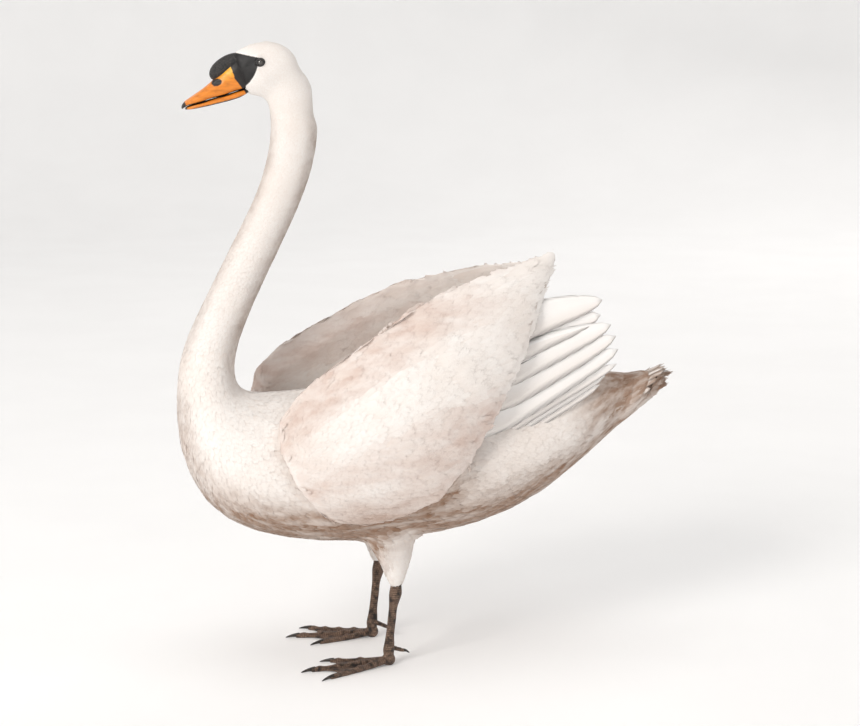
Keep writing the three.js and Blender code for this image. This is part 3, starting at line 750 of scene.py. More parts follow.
def coatTree(name):
    # feathers scattered over a skin by area
    tree = bpy.data.node_groups.new(name, "GeometryNodeTree")
    sheet = Sheet(tree)
    inputs = {
        "Geometry": "Geometry", "Skin": "Object", "Feather": "Object", "Material": "Material",
        "Region": "String", "Spacing": "Float", "Length": "Float", "Width": "Float", "Lift": "Float",
        "Crown": "Float", "Turn": "Float", "Seed": "Int",
    }
    identifiers = {}
    for label, kind in inputs.items():
        socket = tree.interface.new_socket(label, in_out="INPUT", socket_type="NodeSocket" + kind)
        identifiers[label] = socket.identifier
    tree.interface.new_socket("Geometry", in_out="OUTPUT", socket_type="NodeSocketGeometry")
    door = tree.nodes.new("NodeGroupInput")
    given = {label: Wire(sheet, door.outputs[label]) for label in inputs}

    def named(attribute, kind="FLOAT_VECTOR"):
        return sheet.add("GeometryNodeInputNamedAttribute", {"data_type": kind}, {"Name": attribute})

    def chance(low, high, salt):
        sockets = {2: low, 3: high, 8: given["Seed"] + salt}
        return sheet.add("FunctionNodeRandomValue", {"data_type": "FLOAT"}, sockets, out=1)

    def keep(geometry, label, value, kind="FLOAT_VECTOR", domain="POINT"):
        settings = {"data_type": kind, "domain": domain}
        sockets = {"Geometry": geometry, "Name": label, "Value": value}
        return sheet.add("GeometryNodeStoreNamedAttribute", settings, sockets)

    def nearest(value):
        # a value of the skin, where it comes closest to the feather's vertex
        sockets = {"Mesh": skin, "Value": value}
        return sheet.add("GeometryNodeSampleNearestSurface", {"data_type": "FLOAT_VECTOR"}, sockets)

    skin = sheet.add("GeometryNodeObjectInfo", None, {"Object": given["Skin"]}, out=4)
    feather = sheet.add("GeometryNodeObjectInfo", None, {"Object": given["Feather"]}, out=4)
    sockets = {
        "Mesh": given["Geometry"], "Distance Min": given["Spacing"], "Density Max": feathering["densest"],
        "Density Factor": named(given["Region"], "FLOAT"), "Seed": given["Seed"],
    }
    points = sheet.add("GeometryNodeDistributePointsOnFaces", {"distribute_method": "POISSON"}, sockets)
    points = keep(points, "rootUv", named("OFBake"))
    points = keep(points, "shade", chance(0.0, 1.0, 1), "FLOAT")
    points = keep(points, "loose", chance(0.75, 1.25, 2), "FLOAT")

    align = "FunctionNodeAlignRotationToVector"
    upright = sheet.add(align, {"axis": "Z"}, {"Vector": named("up")})
    sockets = {"Rotation": upright, "Vector": named("lie")}
    laid = sheet.add(align, {"axis": "Y", "pivot_axis": "Z"}, sockets)
    sockets = {"Axis": (0, 0, 1), "Angle": chance(-1.0, 1.0, 3) * given["Turn"]}
    turn = sheet.add("FunctionNodeAxisAngleToRotation", None, sockets)
    sockets = {"Rotation": laid, "Rotate By": turn}
    laid = sheet.add("FunctionNodeRotateRotation", {"rotation_space": "LOCAL"}, sockets)
    size = named("size", "FLOAT")
    width = given["Width"] * size * chance(0.88, 1.12, 4)
    length = given["Length"] * size * chance(0.85, 1.15, 5)
    scale = sheet.add("ShaderNodeCombineXYZ", None, {0: width, 1: length, 2: 1.0})
    sockets = {"Points": points, "Instance": feather, "Rotation": laid, "Scale": scale}
    placed = sheet.add("GeometryNodeInstanceOnPoints", None, sockets)
    placed = sheet.add("GeometryNodeRealizeInstances", None, {"Geometry": placed})

    # each vertex is carried to the skin under it, then raised towards the tip and along the shaft
    here = sheet.add("GeometryNodeInputPosition")
    flatness = nearest(sheet.add("GeometryNodeInputNormal"))
    upward = sheet.vectors("NORMALIZE", named("up"))
    placed = keep(placed, "under", flatness)
    toGround = sheet.vectors("SUBTRACT", nearest(here), here)
    drop = sheet.vectors("DOT_PRODUCT", toGround, upward, out=1)
    exact = sheet.vectors("DOT_PRODUCT", toGround, flatness, out=1)
    slant = sheet.vectors("DOT_PRODUCT", upward, flatness, out=1)
    drop = drop + (exact / slant.atLeast(0.5) - drop) * slant.ramp(*feathering["steep"])
    along, ridge = sheet.axes(named("vane"), 1, 2)
    height = along * given["Lift"] * named("loose", "FLOAT") * named("size", "FLOAT")
    height = height + ridge * given["Crown"] - feathering["rootSink"] + drop
    raised = sheet.add("ShaderNodeVectorMath", {"operation": "SCALE"}, {0: upward, "Scale": height})
    place = sheet.vectors("ADD", here, raised)
    draped = sheet.add("GeometryNodeSetPosition", None, {"Geometry": placed, "Position": place})

    patch = sheet.vectors("MULTIPLY", named("vane"), feathering["mapPatch"])
    patch = sheet.vectors("ADD", named("rootUv"), patch)
    draped = keep(draped, "OFBake", patch, "FLOAT2", "CORNER")
    for spare in ("rootUv", "up", "lie", "loose", "size", "region"):
        draped = sheet.add("GeometryNodeRemoveAttribute", None, {"Geometry": draped, "Name": spare})
    sockets = {"Geometry": draped, "Material": given["Material"]}
    finished = sheet.add("GeometryNodeSetMaterial", None, sockets)
    leave = tree.nodes.new("NodeGroupOutput")
    tree.links.new(finished.socket, leave.inputs[0])
    return tree, identifiers


def softenNormals(mesh, share):
    # the feathers' outer faces are shaded mostly as the skin under them is
    count = len(mesh.loops)
    own, under, faces = (np.empty(size * 3) for size in (count, len(mesh.vertices), len(mesh.polygons)))
    corners, totals = np.empty(count, dtype=np.int32), np.empty(len(mesh.polygons), dtype=np.int32)
    mesh.corner_normals.foreach_get("vector", own)
    mesh.attributes["under"].data.foreach_get("vector", under)
    mesh.polygons.foreach_get("normal", faces)
    mesh.polygons.foreach_get("loop_total", totals)
    mesh.loops.foreach_get("vertex_index", corners)
    own, faces = own.reshape(-1, 3), np.repeat(faces.reshape(-1, 3), totals, axis=0)
    under = under.reshape(-1, 3)[corners]
    under /= np.linalg.norm(under, axis=1)[:, None] + 1e-9
    outside = ((faces * under).sum(1) > 0.2)[:, None]
    soft = np.where(outside, own * (1 - share) + under * share, own)
    soft /= np.linalg.norm(soft, axis=1)[:, None] + 1e-9
    mesh.attributes.remove(mesh.attributes["under"])
    mesh.normals_split_custom_set(soft)


def growCoat(name, base, skin, tree, values, soft=0.7):
    # runs a coat tree on a host mesh and returns a plain mesh
    tree, identifiers = tree
    host = newObject(name, base)
    modifier = host.modifiers.new("Coat", "NODES")
    modifier.node_group = tree
    for label, value in {"Skin": skin, **values}.items():
        modifier[identifiers[label]] = value
    mesh = evaluatedMesh(host)
    bpy.data.objects.remove(host)
    mesh.name = name
    softenNormals(mesh, soft)
    print(f"{name}: {triangleCount(mesh)} triangles")
    return mesh


def inMetres(sizes):
    # a coat's sizes are given in mm, apart from its random turn
    return {key: value if key == "Turn" else value * mm for key, value in sizes.items()}


coat = {
    # spacing, length and width in mm, how high the tips stand, the crown of each vane, its random turn
    "head": {"Spacing": 1.8, "Length": 6.0, "Width": 2.6, "Lift": 0.6, "Crown": 0.16, "Turn": 0.22},
    "neck_upper": {"Spacing": 2.5, "Length": 10.0, "Width": 3.8, "Lift": 0.8, "Crown": 0.2, "Turn": 0.2},
    "neck_lower": {"Spacing": 3.2, "Length": 13.0, "Width": 5.0, "Lift": 1.1, "Crown": 0.25, "Turn": 0.2},
    "breast": {"Spacing": 4.6, "Length": 22.0, "Width": 7.5, "Lift": 1.3, "Crown": 0.3, "Turn": 0.2},
    "belly": {"Spacing": 6.0, "Length": 30.0, "Width": 9.5, "Lift": 1.6, "Crown": 0.4, "Turn": 0.2},
    "back": {"Spacing": 6.0, "Length": 30.0, "Width": 10.0, "Lift": 1.6, "Crown": 0.4, "Turn": 0.18},
    "rump": {"Spacing": 4.6, "Length": 44.0, "Width": 8.0, "Lift": 1.5, "Crown": 0.35, "Turn": 0.22},
    "thighs": {"Spacing": 3.6, "Length": 13.0, "Width": 6.0, "Lift": 1.4, "Crown": 0.3, "Turn": 0.16},
}


coatBorders = {  # heights over which one part of the coat takes over from the next
    "head": (0.855, 0.875), "neck": (0.665, 0.675), "body": (0.50, 0.52), "legs": (0.165, 0.175),
}
backLine = ([-0.3, 0.0, 0.3, 0.36], [0.40, 0.36, 0.40, 0.45])  # y and z of the line between back and belly


def coatRegions(mesh):
    # how much of each vertex belongs to each part of the coat
    co, normals = coordinates(mesh), vertexNormals(mesh)
    x, y, z = co.T
    u, v = headPlace(y, z)
    above = {part: smoothStep(z, low, high) for part, (low, high) in coatBorders.items()}
    feathered = 1 - smoothStep(bareFaceDepth(u, v), -0.8, 0.4) * (z > 0.86) * (y < -0.24)
    feathered = feathered * smoothStep(-u, -44, -40)
    neckSide = (y < -0.2) | (z > 0.68)
    onLegs = smoothStep(-z, -0.216, -0.206) * nearLegs(y)
    onLegs = onLegs * (np.abs(np.abs(x) - legPlace["x"]) < legPlace["half"])
    onLegs *= smoothStep(normals[:, 2], -0.40, -0.25) * smoothStep(z, 0.138, 0.143)
    rump = smoothStep(y, 0.235, 0.245)
    # no roots at the end of the tail's wedge, from where the feathers would stand out
    facingBack = normals @ [0.0, 0.87, 0.5]
    beforeTip = smoothStep(-y, -0.350, -0.335) * (1 - smoothStep(facingBack, 0.55, 0.7))
    wing = nearestIsWing(co)
    body = (1 - above["body"]) * above["legs"] * (1 - onLegs) * (1 - wing)
    shown = 1 - hiddenByWings(co, normals)
    ahead = smoothStep(-y, 0.20, 0.24)
    trunk = body * (1 - ahead)
    upward = smoothStep(z - np.interp(y, *backLine), -0.01, 0.02)
    regions = {
        "head": above["head"] * feathered,
        "neck_upper": above["neck"] * (1 - above["head"]) * neckSide,
        "neck_lower": above["body"] * (1 - above["neck"]) * neckSide * (1 - wing),
        "breast": body * ahead,
        "belly": trunk * (1 - upward) * shown * (1 - rump),
        "back": trunk * upward * shown * (1 - rump),
        "rump": body * rump * shown * beforeTip,
        "thighs": onLegs,
    }
    for name, share in regions.items():
        storeNumbers(mesh, name, share)
    size = 1 - 0.25 * smoothStep(u, 0, 35) * above["head"] + 0.3 * smoothStep(y, 0.27, 0.34)
    size += 0.35 * smoothStep(-z, -0.17, -0.135) * onLegs
    storeNumbers(mesh, "size", size)


def nearestIsWing(co):
    # 1 on the wings, found by the nearest CAD node
    rest = surfaceTree(mergedNodes(["trunk", "neck_lower"]))
    share = np.zeros(len(co))
    for i, point in enumerate(co):
        if point[2] > 0.24 and abs(point[0]) > 0.035:
            share[i] = wingSurface.find_nearest(Vector(point))[3] < rest.find_nearest(Vector(point))[3]
    return share


def hiddenByWings(co, normals):
    # 1 where a wing covers the trunk well inside its border
    margins = [Vector((0, dy, dz)) for dy, dz in ((-0.04, 0), (0.045, 0), (0, -0.035))]
    hidden = np.zeros(len(co))
    for i, (point, normal) in enumerate(zip(co, normals)):
        if abs(normal[0]) > 0.35 and 0.24 < point[2] < 0.47:
            outwards = Vector((math.copysign(1.0, normal[0]), 0, 0))
            origin = Vector(point) + outwards * 0.002
            hits = [wingSurface.ray_cast(origin + margin, outwards, 0.2)[0] for margin in margins]
            hidden[i] = all(hit is not None for hit in hits)
    return hidden


bodyGround = makeSkin()
coatRegions(bodyGround)
stainedAndShaded(bodyGround)
bodyHost = newObject("body_ground", bodyGround)

# share of the length and half width along each side, number of points at the tip and their depth
contourVane = vaneMesh("contour_vane", [(0.15, 0.55), (0.42, 0.95), (0.68, 0.94)], 5, 0.16)
longSides = [(0.08, 0.4), (0.18, 0.65), (0.3, 0.85), (0.43, 0.96), (0.56, 1.0), (0.68, 0.93), (0.79, 0.8)]
longVane = vaneMesh("long_vane", longSides, 5, 0.12)
smallVane = vaneMesh("small_vane", [(0.2, 0.65), (0.62, 1.0)], 3, 0.16)
scatter = coatTree("scattered_feathers")
bodyFinish = featherFinish("contour_feathers")
for number, (region, sizes) in enumerate(coat.items()):
    values = {
        **inMetres(sizes), "Feather": {"head": smallVane, "rump": longVane}.get(region, contourVane),
        "Material": bodyFinish, "Region": region, "Seed": 11 + 7 * number,
    }
    soft = 0.45 if region in ("head", "neck_upper", "neck_lower") else 0.7
    grown = growCoat("coat_" + region, bodyGround.copy(), bodyHost, scatter, values, soft)
    addPiece("coat_" + region, grown, bodyFinish)
print("contour feathers are on")


# wings
leaf = {"y": -0.215, "z": 0.330, "rise": math.radians(38.1)}  # root and axis of the folded wing's outline
wingTurn = {"y": 0.025, "z": 0.537, "right": math.radians(-9)}  # the right wing hangs a little lower behind
wingCoat = {
    "small": {"Spacing": 4.6, "Length": 24.0, "Width": 7.0, "Lift": 1.0, "Crown": 0.3, "Turn": 0.2},
    "middle": {"Spacing": 5.8, "Length": 42.0, "Width": 9.0, "Lift": 1.3, "Crown": 0.35, "Turn": 0.16},
    "long": {"Spacing": 5.8, "Length": 64.0, "Width": 12.0, "Lift": 1.6, "Crown": 0.45, "Turn": 0.12},
}
wingShape = {"voxel": 4.0 * mm, "closing": 0.2 * mm, "depth": 1.5 * mm, "folds": 2.0 * mm}
wingRows = {"small": (-1.0, 0.13), "middle": (0.13, 0.25), "long": (0.25, 1.0)}  # along the leaf's axis


def turnedWing(co, angle):
    # turns points in the side view about the wings' pivot
    turned = co.copy()
    y, z = co[:, 1] - wingTurn["y"], co[:, 2] - wingTurn["z"]
    turned[:, 1] = wingTurn["y"] + y * math.cos(angle) - z * math.sin(angle)
    turned[:, 2] = wingTurn["z"] + y * math.sin(angle) + z * math.cos(angle)
    return turned


def patchy(across, along, stretch, layer):
    # slow noise drawn out along the wing's feathers
    layers = np.broadcast_to(layer, across.shape)
    places = np.stack([across * stretch[0], along * stretch[1], layers], axis=1)
    return np.array([noise.noise(Vector(place)) for place in places])


def endsOnWing(tree, ends):
    # 1 where a feather's end still lies over the wing
    share = np.zeros(len(ends))
    for i, end in enumerate(ends):
        side = math.copysign(1.0, end[0])
        hit = tree.ray_cast(Vector((side * 0.3, end[1], end[2])), Vector((-side, 0, 0)), 0.3)[0]
        share[i] = hit is not None
    return share


def wingSkin(side):
    # the surface that the wing's feathers lie on, with their lie, sizes and regions
    node = f"wing_{side}_coverts"
    angle = wingTurn["right"] if side == "right" else 0.0
    mesh = softCopy([node], wingShape["closing"], wingShape["voxel"], 10)
    settle(mesh, [node], np.full(len(mesh.vertices), wingShape["depth"]), 8)
    co, normals = coordinates(mesh), vertexNormals(mesh)
    own = turnedWing(co, -angle)
    y, z = own[:, 1] - leaf["y"], own[:, 2] - leaf["z"]
    # a runs along the leaf's axis from its root, b across it and upwards
    a = y * math.cos(leaf["rise"]) + z * math.sin(leaf["rise"])
    b = z * math.cos(leaf["rise"]) - y * math.sin(leaf["rise"])
    levelling = 10 * smoothStep(b, -0.02, 0.05) * smoothStep(a, 0.25, 0.45)
    rise = np.radians(10 + 23 * smoothStep(b, -0.15, 0.06) - levelling) + angle
    none = np.zeros_like(rise)
    lie = np.stack([none, np.cos(rise), np.sin(rise)], axis=1)
    across = (own * np.stack([none, -np.sin(rise), np.cos(rise)], axis=1)).sum(1)
    fold = patchy(across, a, (26, 4.5), 3.0 + np.sign(co[:, 0] * normals[:, 0]))
    co += normals * (fold * wingShape["folds"] * smoothStep(a, 0.08, 0.30))[:, None]
    setCoordinates(mesh, co)
    unwrapped(mesh)
    normals = vertexNormals(mesh)
    storeVectors(mesh, "up", spread(mesh, normals, 3))
    storeVectors(mesh, "lie", lie - normals * (lie * normals).sum(1)[:, None])
    # feathers grow longer along each row and start shorter in the next
    size = 0.75 + 0.3 * smoothStep(a, 0.0, 0.13) - 0.2 * smoothStep(a, 0.13, 0.14)
    size = size + 0.2 * smoothStep(a, 0.14, 0.25)
    size += -0.25 * smoothStep(a, 0.25, 0.26) + 0.35 * smoothStep(a, 0.26, 0.42)
    storeNumbers(mesh, "size", size)
    tree = surfaceTree(mesh)
    for name, (low, high) in wingRows.items():
        inside = smoothStep(a, low - 0.02, low) - smoothStep(a, high - 0.02, high)
        reach = wingCoat[name]["Length"] * mm * size
        storeNumbers(mesh, name, inside * endsOnWing(tree, co + lie * reach[:, None]))
    # painted shade on the coverts: soft bands, the upper edge under its fold, the low front edge and the
    # front of the wing
    bands = patchy(across, a, (21, 2.5), 8.0)
    lowEdge = smoothStep(-b, 0.05, 0.13) * smoothStep(-a, -0.40, -0.22)
    rosy_shade = 0.50 * smoothStep(bands, 0.0, 0.35) + 0.50 * smoothStep(b, 0.030, 0.080)
    rosy_shade += 0.62 * lowEdge + 0.45 * smoothStep(-a, -0.07, 0.0)
    storeNumbers(mesh, "rosy_shade", np.minimum(rosy_shade, 0.9))
    # painted shade: browner towards the wing's lower part
    storeNumbers(mesh, "stain_and_shade", 0.55 * smoothStep(-own[:, 2], -0.31, -0.235))
    return mesh


wingCoverts = featherFinish("wing_coverts")
grounds = [bodyGround]
for number, side in enumerate(("left", "right")):
    ground = wingSkin(side)
    host = newObject("wing_ground", ground)
    for region, sizes in wingCoat.items():
        values = {
            **inMetres(sizes), "Feather": contourVane if region == "small" else longVane,
            "Material": wingCoverts, "Region": region, "Seed": 101 + 31 * number + len(region),
        }
        name = f"wing_{side}_{region}_coverts"
        addPiece(name, growCoat(name, ground.copy(), host, scatter, values), wingCoverts)
    bpy.data.objects.remove(host)
    grounds.append(ground)
print("wing coverts are on")

# one skin under the whole coat: the body, with the wings' own skin joined to it
wholeSkin = joinedMesh("skin", grounds)
while wholeSkin.uv_layers:
    wholeSkin.uv_layers.remove(wholeSkin.uv_layers[0])
for spare in [layer.name for layer in wholeSkin.attributes if layer.data_type in ("FLOAT", "FLOAT_VECTOR")]:
    if spare not in ("position", "stain_and_shade", "rosy_shade"):
        wholeSkin.attributes.remove(wholeSkin.attributes[spare])
addPiece("skin", unwrapped(wholeSkin), skinFinish(), fleshNodes)
print(f"skin is on: {triangleCount(wholeSkin)} triangles")


class Bundle:
    # many long feathers gathered in one mesh; each has its own cell of the bake map
    def __init__(self, name, cells):
        self.name = name
        self.cells = cells
        self.points, self.faces, self.vane, self.shade, self.map = [], [], [], [], []
        self.count = 0

    def addFeather(self, rings, vanes, shade):
        # rings of points, lofted and closed at both ends
        start, around, last = len(self.points), len(rings[0]), len(rings) - 1
        column, row = self.count % self.cells, self.count // self.cells
        self.count += 1

        def cell(k, r):
            across, along = 0.05 + 0.9 * k / around, 0.05 + 0.9 * r / last
            return ((column + across) / self.cells, (row + along) / self.cells)

        def addFace(corners):
            # each corner is counted round a ring and along the rings; past the last it meets the first
            self.faces.append(tuple(start + r * around + k % around for k, r in corners))
            self.map.extend(cell(k, r) for k, r in corners)

        for ring, vane in zip(rings, vanes):
            self.points += [tuple(p) for p in ring]
            self.vane += vane
            self.shade += [shade] * around
        for r in range(last):
            for k in range(around):
                addFace([(k, r), (k + 1, r), (k + 1, r + 1), (k, r + 1)])
        addFace([(k, 0) for k in reversed(range(around))])
        addFace([(k, last) for k in range(around)])

    def mesh(self):
        mesh = bpy.data.meshes.new(self.name)
        mesh.from_pydata(self.points, [], self.faces)
        storeVectors(mesh, "vane", np.array(self.vane))
        storeNumbers(mesh, "shade", np.array(self.shade))
        layer = mesh.uv_layers.new(name="OFBake")
        layer.data.foreach_set("uv", np.array(self.map, dtype=np.float32).ravel())
        bm = bmesh.new()
        bm.from_mesh(mesh)
        bmesh.ops.recalc_face_normals(bm, faces=bm.faces)
        bm.to_mesh(mesh)
        bm.free()
        print(f"{self.name}: {triangleCount(mesh)} triangles")
        return mesh


quillShape = {
    "steps": 18, "camber": 0.06, "shaft": 0.7 * mm, "thick": 0.55 * mm, "narrowSide": 0.9, "edge": 0.4 * mm,
    "notchDepth": 0.06, "notchWidth": 0.006, "notchPlace": (0.78, 0.93),  # one notch on each side
    # places across the feather, over its top and back under it
    "across": (-1.0, -0.6, -0.09, 0.0, 0.09, 0.6, 1.0, 0.6, 0.09, -0.09, -0.6), "topCount": 7,
}


def quill(bundle, centre, flat, half, pointed, dice):
    # one flight feather: centre(s) gives its shaft, flat the direction across it
    cuts = np.sort(dice.uniform(*quillShape["notchPlace"], 2))
    shares = list(np.linspace(0, 1, quillShape["steps"] + 1) ** 0.8)
    for cut in cuts:
        shares += [cut - 0.022, cut, cut + 0.004]
    shares = sorted(min(max(s, 0.0), 1.0) for s in shares)
    rings, vanes = [], []
    for s in shares:
        width = half * min(1.0, 0.3 + 2.2 * s) * max(0.0, 1 - s ** pointed) ** 0.62 + quillShape["edge"]
        middle = centre(s)
        along = (centre(min(s + 0.02, 1.0)) - centre(max(s - 0.02, 0.0))).normalized()
        sideways = (flat - along * flat.dot(along)).normalized()
        out = sideways.cross(along).normalized()
        halves = []
        for cut, share in zip(cuts, (1.0, quillShape["narrowSide"])):
            dip = math.exp(-((s - cut) / quillShape["notchWidth"]) ** 2)
            dip += 0.25 * math.sin(s * 19 + cut * 40) * s
            halves.append(width * share * (1 - quillShape["notchDepth"] * min(dip, 1.0)))
        ring, vane = [], []
        shaft = quillShape["shaft"] * (1 - 0.75 * s)
        for x in quillShape["across"]:
            top = len(ring) < quillShape["topCount"]
            height = -quillShape["camber"] * abs(x) ** 2 * width + (shaft if x == 0 else 0.0)
            height -= 0 if top else quillShape["thick"] * (1 - 0.6 * s) * (1 - 0.7 * abs(x))
            ring.append(middle + sideways * (x * halves[x >= 0]) + out * height)
            vane.append((x, s, 1.0 if top else 0.0))
        rings.append(ring)
        vanes.append(vane)
    bundle.addFeather(rings, vanes, float(dice.uniform(0, 1)))


def mixRows(first, last, share):
    return [one + (other - one) * share for one, other in zip(first, last)]


flights = {
    # root y, root z, tip y, tip z, root x, tip x in mm, for the uppermost and the lowest feather
    "secondaries": {
        "top": (60, 520, 262, 574, 92, 62), "low": (20, 362, 292, 496, 112, 66),
        "count": 5, "half": 31 * mm, "pointed": 2.7, "rag": 14,
    },
    "primaries": {
        "top": (20, 340, 294, 474, 110, 62), "low": (10, 312, 262, 440, 112, 66),
        "count": 3, "half": 20 * mm, "pointed": 2.6, "rag": 8,
    },
}
flightFinish = featherFinish("flight_feathers", flight=True)


def flightFan(side, kind, seed):
    shape = flights[kind]
    dice = np.random.default_rng(seed)
    bundle = Bundle(f"wing_{side}_{kind}_vanes", 3)
    sign = 1 if side == "left" else -1
    for i in range(shape["count"]):
        rootY, rootZ, tipY, tipZ, rootX, tipX = mixRows(shape["top"], shape["low"], i / (shape["count"] - 1))
        longer = dice.uniform(-1, 1) * shape["rag"] * 0.5
        ends = np.array([
            (sign * rootX, rootY, rootZ),
            (sign * (tipX - 1.1 * i), tipY + longer, tipZ + longer * 0.35),
        ]) * mm
        if side == "right":
            ends = turnedWing(ends, wingTurn["right"])
        root, tip = Vector(ends[0]), Vector(ends[1])
        lift = Vector((0, -0.3, 1)) * dice.uniform(5, 8) * mm

        def centre(s):
            return root.lerp(tip, s) + lift * math.sin(math.pi * s) - lift * s * 0.4

        along = tip - root
        flat = Vector((-sign * 0.06 * along.length, -along.z, along.y)).normalized()
        quill(bundle, centre, flat, shape["half"], shape["pointed"], dice)
    return bundle.mesh()


for number, side in enumerate(("left", "right")):
    for kind in flights:
        mesh = flightFan(side, kind, 40 + number * 2 + len(kind))
        name = f"wing_{side}_{kind}_vanes"
        addPiece(name, mesh, flightFinish, [f"wing_{side}_{kind}"])
print("flight feathers are on")


tail = {
    "y": 0.240, "z": 0.392, "rise": math.radians(23), "length": 0.166, "spread": math.radians(15),
    "droop": 0.018, "wedge": 0.20, "count": 17, "half": 12 * mm, "pointed": 7.0, "rag": 0.12,
    "brown": rgb(0.27, 0.165, 0.105),
}


def tailPoint(place, s):
    angle = place * tail["spread"]
    reach = tail["length"] * (1 - tail["wedge"] * place ** 2) * s
    back = reach * math.cos(angle) * math.cos(tail["rise"])
    up = reach * math.cos(angle) * math.sin(tail["rise"]) - tail["droop"] * s * place ** 2
    return Vector((reach * math.sin(angle), tail["y"] + back, tail["z"] + up))


def tailFinish():
    paint = Finish("tail_feathers", Roughness=0.85, Specular_IOR_Level=0.25)
    across, along = paint.vaneAxes()
    streaks = paint.noise(paint.stretched((160, 14, 60)), 1.0, 3.0).ramp(0.3, 0.7)
    brown = along.ramp(0.2, 0.95) * streaks.ramp(0.0, 1.0, 0.25, 1.0) * paint.y.ramp(0.24, 0.37)
    paint.feed("Base Color", paint.mixed(brown * 0.85, plumageColour(paint), tail["brown"]))
    barbs = (abs(across) * 30 + along * 110).wave()
    paint.bump(barbs * 0.3 + abs(across).ramp(0.0, 0.1, 1.0, 0.0), 0.0004, 0.4)
    return paint.material


def tailFan():
    dice = np.random.default_rng(77)
    bundle = Bundle("tail_vanes", 4)
    for i in range(tail["count"]):
        place = i / (tail["count"] - 1) * 2 - 1
        longer = 1 - tail["rag"] * dice.uniform(0, 1) * (1.6 if i % 2 else 0.5)
        # every second feather lies under its neighbours
        layer = Vector((0, 0, (1 - abs(place)) * 2.5 - 1.2 * (i % 2))) * mm
        flat = (tailPoint(place + 0.1, 1) - tailPoint(place - 0.1, 1)).normalized()

        def centre(s):
            return tailPoint(place, s * longer) + layer

        quill(bundle, centre, flat, tail["half"], tail["pointed"], dice)
    return bundle.mesh()


addPiece("tail_vanes", tailFan(), tailFinish(), ["tail"])
print("tail is on")


# bill, knob and eyes
billShape = {
    # forwards, top, bottom, half width in mm on the head's own axes
    "upper": [
        (22, 12, -25, 15), (29, 17.5, -29.5, 18.4), (37, 16.6, -30.8, 19.2), (46, 13, -30.5, 18.8),
        (62, 4, -30, 17.8), (78, -4.5, -29.2, 17.8), (94, -10.5, -28.2, 18.4), (108, -14.5, -27.4, 18.4),
        (120, -18, -27.2, 16), (128, -21.5, -28.2, 11), (132.5, -24.4, -29.4, 6), (134, -27, -29.6, 1.5),
    ],
    "lower": [
        (18, -30, -34, 5), (27, -31, -37, 9.5), (35, -31, -39.4, 13.4), (45, -31, -41, 16.2),
        (56, -31, -41, 16.6), (80, -29.8, -39.2, 16), (105, -28.4, -36.6, 15.6), (119, -27.8, -34.6, 12.4),
        (126, -28.4, -33, 7.5), (129, -29.3, -32, 2.5),
    ],
    "knob": [
        (19, 17, 2, 9.0), (28, 24.0, 2, 12.4), (40, 25.8, 1, 13.8), (51, 24.4, -1, 13.8),
        (61, 21.4, -4, 12.8), (69, 17.2, -5, 10.4), (74.5, 12.0, -3, 7.2), (77, 7.5, 0, 3.4),
        (77.6, 5.2, 2.6, 0.6),
    ],
    "nostril": (71.5, -9.5, 7.0, 2.6), "nostrilSink": 2.4,  # middle and reach; depth
    "edgeWave": 0.5, "groove": 0.7, "nail": 0.9, "nailAt": 126, "thinnest": 0.3,
}


def smoothRows(rows, count):
    # rows eased over their length; the first column is the place along
    rows = np.array(rows, dtype=float)
    lengths = np.concatenate([[0], np.cumsum(np.linalg.norm(np.diff(rows[:, :2], axis=0), axis=1))])
    places = np.linspace(0, lengths[-1], count)
    slopes = np.gradient(rows, lengths, axis=0)
    out = []
    for place in places:
        i = min(np.searchsorted(lengths, place, side="right") - 1, len(rows) - 2)
        span = lengths[i + 1] - lengths[i]
        t = (place - lengths[i]) / span
        out.append(
            rows[i] * (2 * t ** 3 - 3 * t ** 2 + 1) + slopes[i] * span * (t ** 3 - 2 * t ** 2 + t)
            + rows[i + 1] * (3 * t ** 2 - 2 * t ** 3) + slopes[i + 1] * span * (t ** 3 - t ** 2)
        )
    return out


def billRing(u, top, bottom, half, around, crown, keel):
    # crown sharpens the ridge above; keel flattens the side below
    middle, ring = (top + bottom) / 2, []
    for k in range(around):
        angle = 2 * math.pi * k / around
        c, s = math.cos(angle), math.sin(angle)
        wide, high, reach = (crown, 1.0, top - middle) if s > 0 else (0.45, keel, middle - bottom)
        x = half * math.copysign(abs(c) ** wide, c)
        ring.append((x, u, middle + reach * math.copysign(abs(s) ** high, s)))
    return ring


def carved(x, u, v, top, bottom):
    # the upper bill's wavy cutting edge, its nostril, the groove to it and the nail
    low = smoothStep(np.array(-v), -bottom - 5, -bottom)
    v += billShape["edgeWave"] * math.sin(u * 0.16) * float(low)
    nu, nv, ru, rv = billShape["nostril"]
    sink = billShape["nostrilSink"] * math.exp(-(((u - nu) / ru) ** 2 + ((v - nv) / rv) ** 2) ** 1.5)
    groove = billShape["groove"] * math.exp(-((v - nv - (u - nu) * -0.22) / 3.2) ** 2) * (50 < u < 112)
    x -= math.copysign(min(sink + groove, abs(x)), x)
    onTop = v > (top + bottom) / 2
    nail = math.exp(-((u - billShape["nailAt"]) / 4.5) ** 2) * math.exp(-(x / 7) ** 2) * onTop
    return x, u, v + billShape["nail"] * nail


def makeBill(part, count, around, crown, keel):
    rings = []
    for u, top, bottom, half in smoothRows(billShape[part], count):
        ring = billRing(u, top, bottom, max(half, billShape["thinnest"]), around, crown, keel)
        if part == "upper":
            ring = [carved(x, u, v, top, bottom) for x, u, v in ring]
        rings.append([headPoint(*spot) for spot in ring])
    return loftedMesh("bill_" + part, rings)


billColours = {
    "orange": rgb(0.78, 0.245, 0.022), "yellow": rgb(0.90, 0.46, 0.03), "stain_and_shade": rgb(0.42, 0.11, 0.015),
    "black": rgb(0.012, 0.010, 0.009),
}


